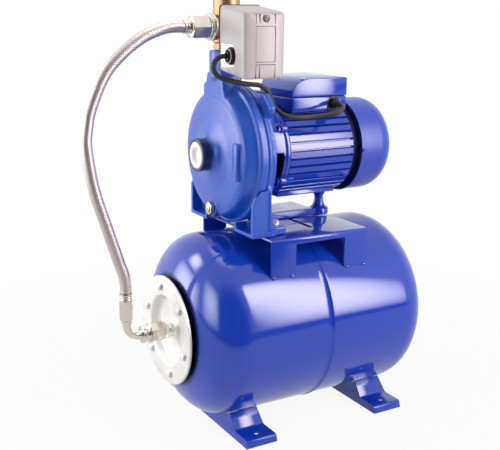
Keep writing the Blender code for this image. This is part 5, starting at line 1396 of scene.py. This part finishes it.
def make_five_way():
    """The brass body with its hexagon, three ports and the thread at its top."""
    body = lathe(rounded([
        (0.5426, 0.0070), (0.5426, 0.0166), (0.5520, 0.0166), (0.5530, 0.0195), (0.5905, 0.0195),
        (0.5920, 0.0186), (0.6120, 0.0186), (0.6120, 0.0160), (0.6105, 0.0149), (0.5940, 0.0149),
        (0.5940, 0.0070),
    ], 0.0008, 3), "z", TOWER, 96)
    hex_ring = chamfered_hex("z", 0.5440, 0.5512, 0.0326, TOWER)
    hex_ring = carved(hex_ring, cylinder("z", 0.53, 0.56, 0.0120, TOWER, 32))
    stubs = [
        cylinder("x", -0.1183, -0.108, 0.0150, (PUMP_Y, HOSE_PORT_Z), 48),
        cylinder("x", -0.088, -0.0765, 0.0085, (PUMP_Y, SMALL_PORT_Z), 40),
        cylinder("y", -0.0110, 0.0000, 0.0095, (TOWER_X, SMALL_PORT_Z), 40),
    ]
    stubs = [bevelled(stub, 0.0008, 2) for stub in stubs]
    rings = []
    for i in range(6):
        z = 0.6095 - i * 0.0023
        rings.append(lathe([(z, 0.0150), (z - 0.0010, 0.0143), (z - 0.0020, 0.0150)], "z", TOWER, 64))
    refine("five_way_fitting", merged(body, hex_ring, *stubs, *rings), "brass", name="five_way_fine")


def crimp(axis, low, high, across):
    """A crimped sleeve with two pressed grooves and a rolled end."""
    length = high - low
    profile = [(low, 0.0081), (low, 0.0090), (low + 0.0006, 0.0093)]
    for share, radius in (
        (0.24, 0.0093), (0.30, 0.0087), (0.40, 0.0087), (0.46, 0.0093), (0.58, 0.0093), (0.64, 0.0087),
        (0.74, 0.0087), (0.80, 0.0093), (1.00, 0.0093), (1.00, 0.0081),
    ):
        profile.append((low + length * share, radius))
    return lathe(rounded(profile, 0.0003, 2), axis, across, 64)


def make_hose_ends():
    """The two swivel nuts with their crimps, and the collar on the fitting."""
    upper = (PUMP_Y, HOSE_PORT_Z)
    bore = cylinder("x", -0.2, -0.1, 0.0078, upper, 32)
    nut = carved(chamfered_hex("x", -0.1550, -0.1293, 0.029, upper, 0.0), bore)
    waist = lathe(rounded([
        (-0.1556, 0.0079), (-0.1556, 0.0125), (-0.1545, 0.0135), (-0.1535, 0.0135), (-0.1535, 0.0079),
    ], 0.0004, 2), across=upper, steps=64)
    nut = merged(nut, waist, crimp("x", -0.1650, -0.1550, upper))
    refine("hose_upper_nut", nut, "nickel")
    bore = cylinder("z", 0.1, 0.3, 0.0070, HOSE_FOOT, 32)
    nut = carved(chamfered_hex("z", 0.1745, 0.2035, 0.0176, HOSE_FOOT, 0.0), bore)
    refine("hose_lower_nut", merged(nut, crimp("z", 0.2033, 0.2135, HOSE_FOOT)), "nickel")
    collar = lathe(rounded([
        (-0.1290, 0.0080), (-0.1290, 0.0160), (-0.1278, 0.0172), (-0.1262, 0.0172), (-0.1252, 0.0162),
        (-0.1244, 0.0172), (-0.1230, 0.0186), (-0.1198, 0.0186), (-0.1186, 0.0176), (-0.1186, 0.0080),
    ], 0.0006, 3), across=upper, steps=96)
    refine("hose_collar", collar, "nickel")


def elbow_swell(run):
    """The elbow's thickness as a share, a little thinner past its root."""
    return 0.88 + 0.12 * math.cos(min(run / 0.012, 1.0) * math.pi / 2)


def make_tank_outlet():
    """Nipple, union nut and the swept elbow that turns up into the hose."""
    nipple = lathe(rounded([
        (-0.1970, 0.0087), (-0.1970, 0.0125), (-0.1992, 0.0125), (-0.1998, 0.0117), (-0.2006, 0.0117),
        (-0.2012, 0.0125), (-0.2077, 0.0125), (-0.2077, 0.0087),
    ], 0.0004, 2), across=TANK_AXIS, steps=80)
    refine("tank_nipple", nipple, "nickel")
    bore = cylinder("x", -0.3, -0.1, 0.0093, TANK_AXIS, 48)
    refine("union_nut", carved(chamfered_hex("x", -0.2285, -0.2080, 0.027, TANK_AXIS), bore), "nickel")
    ring = lathe(rounded([
        (-0.2112, 0.0060), (-0.2112, 0.0088), (-0.2288, 0.0088), (-0.2288, 0.0125), (-0.2308, 0.0125),
        (-0.2320, 0.0112), (-0.2345, 0.0112), (-0.2360, 0.0125), (-0.2400, 0.0125), (-0.2410, 0.0060),
    ], 0.0008, 3), across=TANK_AXIS, steps=80)
    bend = arc((HOSE_FOOT[0] + ELBOW_R, TANK_Z + ELBOW_R), ELBOW_R, 270, 180, 24)
    route = [Vector((x, 0.0, z)) for x, z in [(-0.236, TANK_Z)] + bend + [(HOSE_FOOT[0], 0.1742)]]
    elbow = swept(route, 0.0068, 40, swell=elbow_swell)
    profile = rounded([(0.1690, 0.0050), (0.1690, 0.0072), (0.1742, 0.0080), (0.1742, 0.0050)], 0.0005, 2)
    top = lathe(profile, "z", HOSE_FOOT, 48)
    refine("hose_elbow", merged(ring, elbow, top), "nickel", smooth=50.0)


FLANGE_BOLTS = 6
FLANGE_RING_R = 0.0638
FLANGE_PHASE = math.radians(17.67)


def make_flange_bolts():
    """The ring of bolts on the flange, at their nodes' places."""
    for i in range(FLANGE_BOLTS):
        place = on_circle(TANK_AXIS, FLANGE_RING_R, FLANGE_PHASE + i * 2 * math.pi / FLANGE_BOLTS)
        hex_bolt("flange_bolt_%d" % (i + 1), "x", -0.2034, -0.2073, 0.010, place, 0.003, -0.188, 0.0058)


def make_air_valve():
    """The valve's knurled black cap."""
    steps = 96
    knurl = []
    for i in range(steps):
        radius = 0.0085 - (0.0004 if i % 4 < 2 else 0.0)
        knurl.append(on_circle(TANK_AXIS, radius, 2 * math.pi * i / steps))
    sleeve = outline_solid([knurl, circle(0.0040, 32, TANK_AXIS)], "yz", 0.2070, 0.2155)
    profile = [(0.2150, 0.0), (0.2150, 0.0078), (0.2158, 0.0078), (0.2165, 0.0070), (0.2165, 0.0)]
    cap = lathe(rounded(profile, 0.0004, 2), across=TANK_AXIS, steps=64)
    refine("air_valve_cap", merged(sleeve, cap), "black")


# Pressure switch

SWITCH_X = -0.098
SWITCH_Z = 0.5516
SWITCH_HALF_Z = 0.0431
SWITCH_HALF_X = 0.0311
SWITCH_X0 = SWITCH_X - SWITCH_HALF_X
SWITCH_X1 = SWITCH_X + SWITCH_HALF_X
SWITCH_Z0 = SWITCH_Z - SWITCH_HALF_Z
SWITCH_Z1 = SWITCH_Z + SWITCH_HALF_Z
SWITCH_FRONT = -0.097
SWITCH_BACK = -0.0291
SWITCH_CROWN = 0.0030
NOTCH = (-0.0565, 0.5378)
NOTCH_R = 0.0150
COVER_RISE = 0.0085
COVER_SCREW = (SWITCH_X + 0.0005, 0.5868)
STUD = (TOWER_X, 0.582)
CAP_AXIS = (TOWER_X, SMALL_PORT_Z)

# The recess in the cover's front, its groove below, and the lines that run on up and down from it
RECESS_X = (SWITCH_X - 0.0150, SWITCH_X + 0.0150)
RECESS_Z = (0.5310, 0.5770)
GROOVE_Z = RECESS_Z[0] - 0.0030
RUN_X = (RECESS_X[0] + 0.0005, RECESS_X[0] + 0.0060, RECESS_X[1] - 0.0005)
RECESS_DEEP = 0.0008
GROOVE_HALF = 0.0005
# The strips of painted shade laid in the grooves: half width, depth and how far under the front they lie
LINE_HALF = 0.00065
LINE_DEEP = 0.00078
LINE_SUNK = 0.00040


def crown_depth(point):
    """How far the front lies behind its middle at a point, from its crown."""
    across = (point.x - SWITCH_X) / SWITCH_HALF_X
    up = (point.z - SWITCH_Z) / SWITCH_HALF_Z
    return SWITCH_CROWN * (0.75 * across**2 + 0.25 * up**2)


def crowned(shape):
    """Pushes the front of the cover's box out in the middle and in towards its sides."""
    for vertex in shape.verts:
        if vertex.co.y <= SWITCH_FRONT + 0.012:
            vertex.co.y += crown_depth(vertex.co)
    return shape


def front_cutter(start, end, half, deep):
    """A strip from one (x, z) corner to another that follows the crowned front to a depth."""
    x0, z0 = (value - half for value in start)
    x1, z1 = (value + half for value in end)
    shape = block((x0, SWITCH_FRONT - 0.004, z0), (x1, SWITCH_FRONT + deep, z1))
    for axis, low, high in ((0, x0, x1), (2, z0, z1)):
        count = max(2, round((high - low) / 0.005))
        for i in range(1, count):
            middle = [0.0, 0.0, 0.0]
            normal = [0.0, 0.0, 0.0]
            middle[axis] = low + (high - low) * i / count
            normal[axis] = 1.0
            geometry = shape.verts[:] + shape.edges[:] + shape.faces[:]
            bmesh.ops.bisect_plane(shape, geom=geometry, plane_co=middle, plane_no=normal)
    return crowned(shape)


def line_runs(gap_below, gap_above, end_gap):
    """Ends of the upright lines: three below the recess, and three above it."""
    low, high = RECESS_Z
    below = [((x, SWITCH_Z0 + end_gap), (x, low - gap_below)) for x in RUN_X]
    above = [((x, high + gap_above), (x, SWITCH_Z1 - end_gap)) for x in RUN_X]
    return below, above


def cover_section(inset, shrink):
    """The cover's rounded outline with an inset, drawn in towards its middle by a further distance."""
    half_x = SWITCH_HALF_X - inset
    half_z = SWITCH_HALF_Z - inset
    low = (SWITCH_X0 + inset, SWITCH_Z0 + inset)
    high = (SWITCH_X1 - inset, SWITCH_Z1 - inset)
    line = []
    for x, z in rounded_rectangle(low, high, max(0.0055 - inset, 0.002)):
        line.append((SWITCH_X + (x - SWITCH_X) * (half_x - shrink) / half_x,
                     SWITCH_Z + (z - SWITCH_Z) * (half_z - shrink) / half_z))
    return line


def cover_shell(inset, front, back, nose):
    """A lofted box whose front edge is rounded and whose front is crowned."""
    shape = bmesh.new()
    rings = []
    steps = 8
    levels = [(back, 0.0), (front + nose + 0.002, 0.0)]
    for i in range(steps + 1):
        angle = math.pi / 2 * i / steps
        levels.append((front + nose - nose * math.sin(angle), nose * (1 - math.cos(angle))))
    for inner in (0.011, 0.016, 0.021, 0.025):
        levels.append((front, inner))
    for y, shrink in levels:
        ring = [shape.verts.new((x, y, z)) for x, z in cover_section(inset, shrink)]
        rings.append(ring)
    count = len(rings[0])
    for first, second in zip(rings, rings[1:]):
        for i in range(count):
            j = (i + 1) % count
            shape.faces.new((first[i], first[j], second[j], second[i]))
    shape.faces.new(rings[0])
    shape.faces.new(rings[-1])
    bmesh.ops.recalc_face_normals(shape, faces=shape.faces)
    for vertex in shape.verts:
        vertex.co.z += COVER_RISE * (vertex.co.y - SWITCH_FRONT) / (SWITCH_BACK - SWITCH_FRONT)
    return crowned(shape)


def notch_cutters():
    """What the grommet's notch takes from the cover's side: a round end and the slit behind it."""
    inner = SWITCH_X0 + 0.008
    outer = SWITCH_X0 - 0.01
    opening = cylinder("x", outer, inner, NOTCH_R, NOTCH, 64)
    slit = block((outer, NOTCH[0], NOTCH[1] - NOTCH_R), (inner, SWITCH_BACK + 0.01, NOTCH[1] + NOTCH_R))
    return opening, slit


def make_switch_cover():
    """The grey cover with its recess, grooves, notch and sunk screw."""
    cover = cover_shell(0.0, SWITCH_FRONT, SWITCH_BACK, 0.0050)
    hollow = cover_shell(0.0022, SWITCH_FRONT + 0.0028, SWITCH_BACK + 0.01, 0.0035)
    recess = front_cutter((RECESS_X[0], RECESS_Z[0]), (RECESS_X[1], RECESS_Z[1]), 0.0, RECESS_DEEP)
    cover = carved(cover, hollow, recess, *notch_cutters())
    below, above = line_runs(0.0044, 0.0035, 0.0015)
    runs = [((RECESS_X[0], GROOVE_Z), (RECESS_X[1], GROOVE_Z))] + below + above
    grooves = [front_cutter(start, end, GROOVE_HALF, RECESS_DEEP) for start, end in runs]
    cover = carved(cover, merged(*grooves))
    cover = carved(cover, cylinder("y", SWITCH_FRONT - 0.01, SWITCH_FRONT + 0.0024, 0.0054, COVER_SCREW, 48))
    refine("switch_cover", bevelled(cover, 0.0002, 1, 40.0), "grey_cover", smooth=40.0)


def make_cover_trim():
    """The cover's screw, dark strips of painted shade in the grooves round its recess, a dark rim of painted
    shade in the joint behind it, and the grommet's ring.
    """
    head = lathe(rounded([
        (SWITCH_FRONT + 0.0022, 0.0), (SWITCH_FRONT + 0.0022, 0.0044), (SWITCH_FRONT + 0.0006, 0.0044),
        (SWITCH_FRONT - 0.0004, 0.0030), (SWITCH_FRONT - 0.0004, 0.0),
    ], 0.0006, 3), "y", COVER_SCREW, 48)
    slot = block((-0.006, SWITCH_FRONT - 0.002, -0.0005), (0.006, SWITCH_FRONT + 0.0006, 0.0005))
    bmesh.ops.rotate(slot, cent=(0, 0, 0), matrix=Matrix.Rotation(math.radians(35), 3, "Y"), verts=slot.verts)
    bmesh.ops.translate(slot, vec=(COVER_SCREW[0], 0, COVER_SCREW[1]), verts=slot.verts)
    detail("cover_screw", carved(head, slot), "steel", DULL)
    left, right = RECESS_X
    low, high = RECESS_Z
    below, above = line_runs(0.0040, 0.0040, 0.0030)
    runs = [
        ((left, low), (right, low)), ((left, high), (right, high)), ((left, low), (left, high)),
        ((right, low), (right, high)), *below, ((left, GROOVE_Z), (right, GROOVE_Z)), *above,
    ]
    # Painted shade: dark strips laid in the grooves and along the recess's edges, just under the front
    lines = []
    for start, end in runs:
        strip = front_cutter(start, end, LINE_HALF, LINE_DEEP)
        for vertex in strip.verts:
            vertex.co.y = max(vertex.co.y, SWITCH_FRONT + crown_depth(vertex.co) + LINE_SUNK)
        lines.append(strip)
    detail("cover_groove_shade", merged(*lines), "black", SHADE_AND_INK)
    # Painted shade: a dark rim in the joint at the cover's back
    outlines = [cover_section(0.0, -0.0009), cover_section(0.0, 0.0016)]
    rim = outline_solid(outlines, "xz", SWITCH_BACK + 0.0001, SWITCH_BACK + 0.0014)
    bmesh.ops.translate(rim, vec=(0, 0, COVER_RISE), verts=rim.verts)
    detail("cover_rim_shade", carved(rim, *notch_cutters()), "black", SHADE_AND_INK)
    front = SWITCH_X0 - 0.0037
    back = SWITCH_X0 - 0.0028
    ring = lathe([(front, 0.0084), (front, 0.0097), (back, 0.0097), (back, 0.0084)], across=NOTCH, steps=48)
    detail("grommet_ring", ring, "grey_cover")


def make_switch_base():
    """Base plate with its stud, the diaphragm cap under it and the rubber grommet."""
    low = (SWITCH_X0 + 0.0030, -0.0288, SWITCH_Z0 + 0.0080)
    base = rounded_box(low, (SWITCH_X1 - 0.0030, -0.0248, SWITCH_Z1 + 0.0040), 0.0012, 2)
    base = carved(base, cylinder("y", -0.05, -0.01, 0.0044, CAP_AXIS, 32))
    plate = block((SWITCH_X0 + 0.0034, -0.0765, 0.5208), (SWITCH_X0 + 0.0054, -0.0268, 0.5548))
    plate = carved(plate, cylinder("x", -0.2, -0.1, 0.0098, NOTCH, 40))
    stud = cylinder("y", -0.0650, -0.0288, 0.0022, STUD, 20)
    nut = chamfered_hex("y", -0.0637, -0.0607, 0.0120, STUD)
    refine("switch_base", merged(base, plate, stud, nut), "zinc")
    cap = lathe(rounded([
        (-0.0245, 0.0044), (-0.0245, 0.0228), (-0.0236, 0.0235), (-0.0215, 0.0235), (-0.0208, 0.0222),
        (-0.0185, 0.0215), (-0.0168, 0.0190), (-0.0160, 0.0130), (-0.0160, 0.0044),
    ], 0.0008, 3), "y", CAP_AXIS, 80)
    bore = cylinder("y", -0.05, 0.05, 0.0044, CAP_AXIS, 32)
    neck = carved(chamfered_hex("y", -0.0163, -0.0113, 0.020, CAP_AXIS, 0.0), bore)
    refine("switch_diaphragm_cap", merged(cap, neck), "zinc", name="diaphragm_cap_fine")
    profile = []
    for along, radius in (
        (0.0070, 0.0038), (-0.0052, 0.0038), (-0.0052, 0.0058), (-0.0020, 0.0066), (-0.0012, 0.0080),
        (-0.0030, 0.0090), (-0.0030, 0.0104), (0.0004, 0.0118), (0.0029, 0.0118), (0.0029, 0.0094),
        (0.0070, 0.0094),
    ):
        profile.append((SWITCH_X0 + along, radius))
    refine("switch_grommet", lathe(rounded(profile, 0.0004, 3), across=NOTCH, steps=64), "black")


# Pressure gauge

DIAL_MARKS = 31
DIAL_START = 225
DIAL_SWEEP = 270
MARK_END = 0.0208


def make_gauge():
    """The gauge's case with its neck, and the marks on its dial."""
    across = (PUMP_Y, SMALL_PORT_Z)
    case = lathe(rounded([
        (-0.0762, 0.0), (-0.0762, 0.0065), (-0.0660, 0.0065), (-0.0660, 0.0215), (-0.0640, 0.0245),
        (-0.0500, 0.0248), (-0.0470, 0.0250), (-0.0425, 0.0250), (-0.0420, 0.0240), (-0.0420, 0.0226),
        (-0.0450, 0.0222), (-0.0600, 0.0222), (-0.0600, 0.0),
    ], 0.0008, 3), across=across, steps=96)
    neck = chamfered_hex("x", -0.0742, -0.0672, 0.014, across)
    refine("gauge_case", merged(case, neck), "black")
    marks = []
    for i in range(DIAL_MARKS):
        start, half = (0.0168, 0.00045) if i % 5 == 0 else (0.0186, 0.00022)
        angle = math.radians(DIAL_START + DIAL_SWEEP * i / (DIAL_MARKS - 1))
        points = [(start, -half), (MARK_END, -half), (MARK_END, half), (start, half)]
        marks.append(outline_solid([radial_outline(across, angle, points)], "yz", -0.0501, -0.0499))
    detail("dial_marks", merged(*marks), "black", SHADE_AND_INK)


make_tank()
make_flange()
make_feet()
make_stand()
make_casing()
make_suction_cap()
make_drain_plug()
make_bracket()
make_bolts()
make_frame()
make_front_shield()
make_rear_shield()
make_fan_cover()
make_terminal_box()
make_gland()
make_support()
make_five_way()
make_hose_ends()
make_tank_outlet()
make_flange_bolts()
make_air_valve()
make_switch_cover()
make_cover_trim()
make_switch_base()
make_gauge()


# Floor, light and background

DARK_SIDE = (-0.51, -0.86)
SOFTNESS = 1.05
DARK_LEVEL = 0.08
GLOSS_LEVEL = 1.0
FILL_LEVEL = 0.26
FLOOR_HALF = 8.0
FLOOR_Z = -0.0005
FLOOR_GREY = (0.85, 0.85, 0.86, 1.0)
PURE_WHITE = (1.0, 1.0, 1.0, 1.0)


def rays(web, *kinds):
    """1 for rays of the named kinds and 0 for others."""
    share = web.node("ShaderNodeLightPath", output=kinds[0])
    for kind in kinds[1:]:
        share = share.most(web.node("ShaderNodeLightPath", output=kind))
    return share


def towards_dark(web, place):
    """How far a place lies towards the dark side behind the viewer."""
    return web.part(place, 0) * DARK_SIDE[0] + web.part(place, 1) * DARK_SIDE[1]


def make_stage():
    """A white floor that keeps the shadow, and that is darker in reflections behind the viewer."""
    shape = bmesh.new()
    bmesh.ops.create_grid(shape, x_segments=2, y_segments=2, size=FLOOR_HALF)
    bmesh.ops.translate(shape, vec=(0, 0, FLOOR_Z), verts=shape.verts)
    floor = plain_object(shape, "floor")
    material = bpy.data.materials.new("floor_white")
    material.use_nodes = True
    web = Web(material.node_tree)
    web.tree.nodes.clear()
    distance = web.node("ShaderNodeVectorMath", [web.place()], output="Value", operation="LENGTH")
    white = distance.step(0.30, 1.00, 0.92, 1.00)
    share = rays(web, "Is Camera Ray", "Is Glossy Ray", "Is Transmission Ray") * white
    dark = towards_dark(web, web.place()).step(0.60, 0.90, 0.22, 0.9)
    strength = 1.0 - dark * rays(web, "Is Glossy Ray")
    matte = web.node("ShaderNodeBsdfDiffuse", {"Color": FLOOR_GREY})
    glow = web.node("ShaderNodeEmission", {"Color": PURE_WHITE, "Strength": strength})
    mix = web.node("ShaderNodeMixShader", [share, matte, glow])
    out = web.tree.nodes.new("ShaderNodeOutputMaterial")
    web.tree.links.new(mix.socket, out.inputs[0])
    floor.data.materials.append(material)


def make_world():
    """White to the eye and in reflections from the sides, darker behind the viewer."""
    world = bpy.data.worlds.new("studio")
    bpy.context.scene.world = world
    world.use_nodes = True
    web = Web(world.node_tree)
    background = web.tree.nodes["Background"]
    room = towards_dark(web, web.place("Generated")).step(0.35, 0.80, GLOSS_LEVEL, DARK_LEVEL)
    seen = rays(web, "Is Camera Ray", "Is Transmission Ray")
    glossy = rays(web, "Is Glossy Ray")
    strength = seen.most(glossy * room + (1.0 - glossy) * FILL_LEVEL)
    web.tree.links.new(strength.socket, background.inputs["Strength"])
    background.inputs["Color"].default_value = PURE_WHITE


def softbox(name, place, aim, wide, high, watts, color=(1.0, 0.95, 0.97), edges=(2.0, 2.0)):
    """A panel lamp that is brightest in its middle and fades towards its edges."""
    data = bpy.data.lights.new(name, "AREA")
    data.shape = "RECTANGLE"
    data.size = wide
    data.size_y = high
    data.energy = watts
    data.color = color
    data.use_nodes = True
    web = Web(data.node_tree)
    spot = web.node("ShaderNodeNewGeometry", output="Parametric")
    shares = []
    gain = 1.0
    for which, edge in enumerate(edges):
        gain *= (edge + 1) / edge
        from_middle = (web.part(spot, which) - 0.5).size() * 2.0
        shares.append(1.0 - from_middle ** edge)
    strength = (shares[0] * shares[1]) ** SOFTNESS * gain
    web.tree.links.new(strength.socket, web.tree.nodes["Emission"].inputs["Strength"])
    light = bpy.data.objects.new(name, data)
    bpy.context.scene.collection.objects.link(light)
    light.location = place
    light.rotation_euler = (Vector(aim) - Vector(place)).to_track_quat("-Z", "Y").to_euler()


def make_lights():
    """A tall lamp on the right, a fill on the left, two behind and one above."""
    softbox(
        "key_right", (0.662, -1.02, 0.92), (0.1, 0.0, 0.89), 0.49, 1.54, 17.2, (1.0, 0.91, 0.95), (2.6, 5.0),
    )
    softbox("left_fill", (-1.6, -0.1, 0.6), (0.0, 0.0, 0.35), 0.9, 1.2, 9.0, (0.94, 0.98, 1.0))
    softbox("back_panel", (-1.45, 1.05, 0.45), (0.0, 0.0, 0.4), 1.3, 0.9, 12.0)
    softbox("dome_light", (-1.1, 0.85, 1.15), (-0.1, 0.0, 0.3), 0.6, 0.7, 6.0)
    softbox("top_panel", (0.1, 0.3, 1.9), (0.0, 0.0, 0.3), 1.4, 1.4, 7.5)


make_stage()
make_world()
make_lights()
bpy.context.scene.view_settings.view_transform = "Standard"


# CAD nodes that stay


def dress_nodes():
    """A node that no piece stands for keeps its CAD shape and takes its slot's finish."""
    for node in frame["nodes"].values():
        if node.hide_render:
            continue
        slot = node.data.materials[0].name.split(".")[0]
        node.data.materials.clear()
        node.data.materials.append(SLOT_LOOK[slot])


dress_nodes()
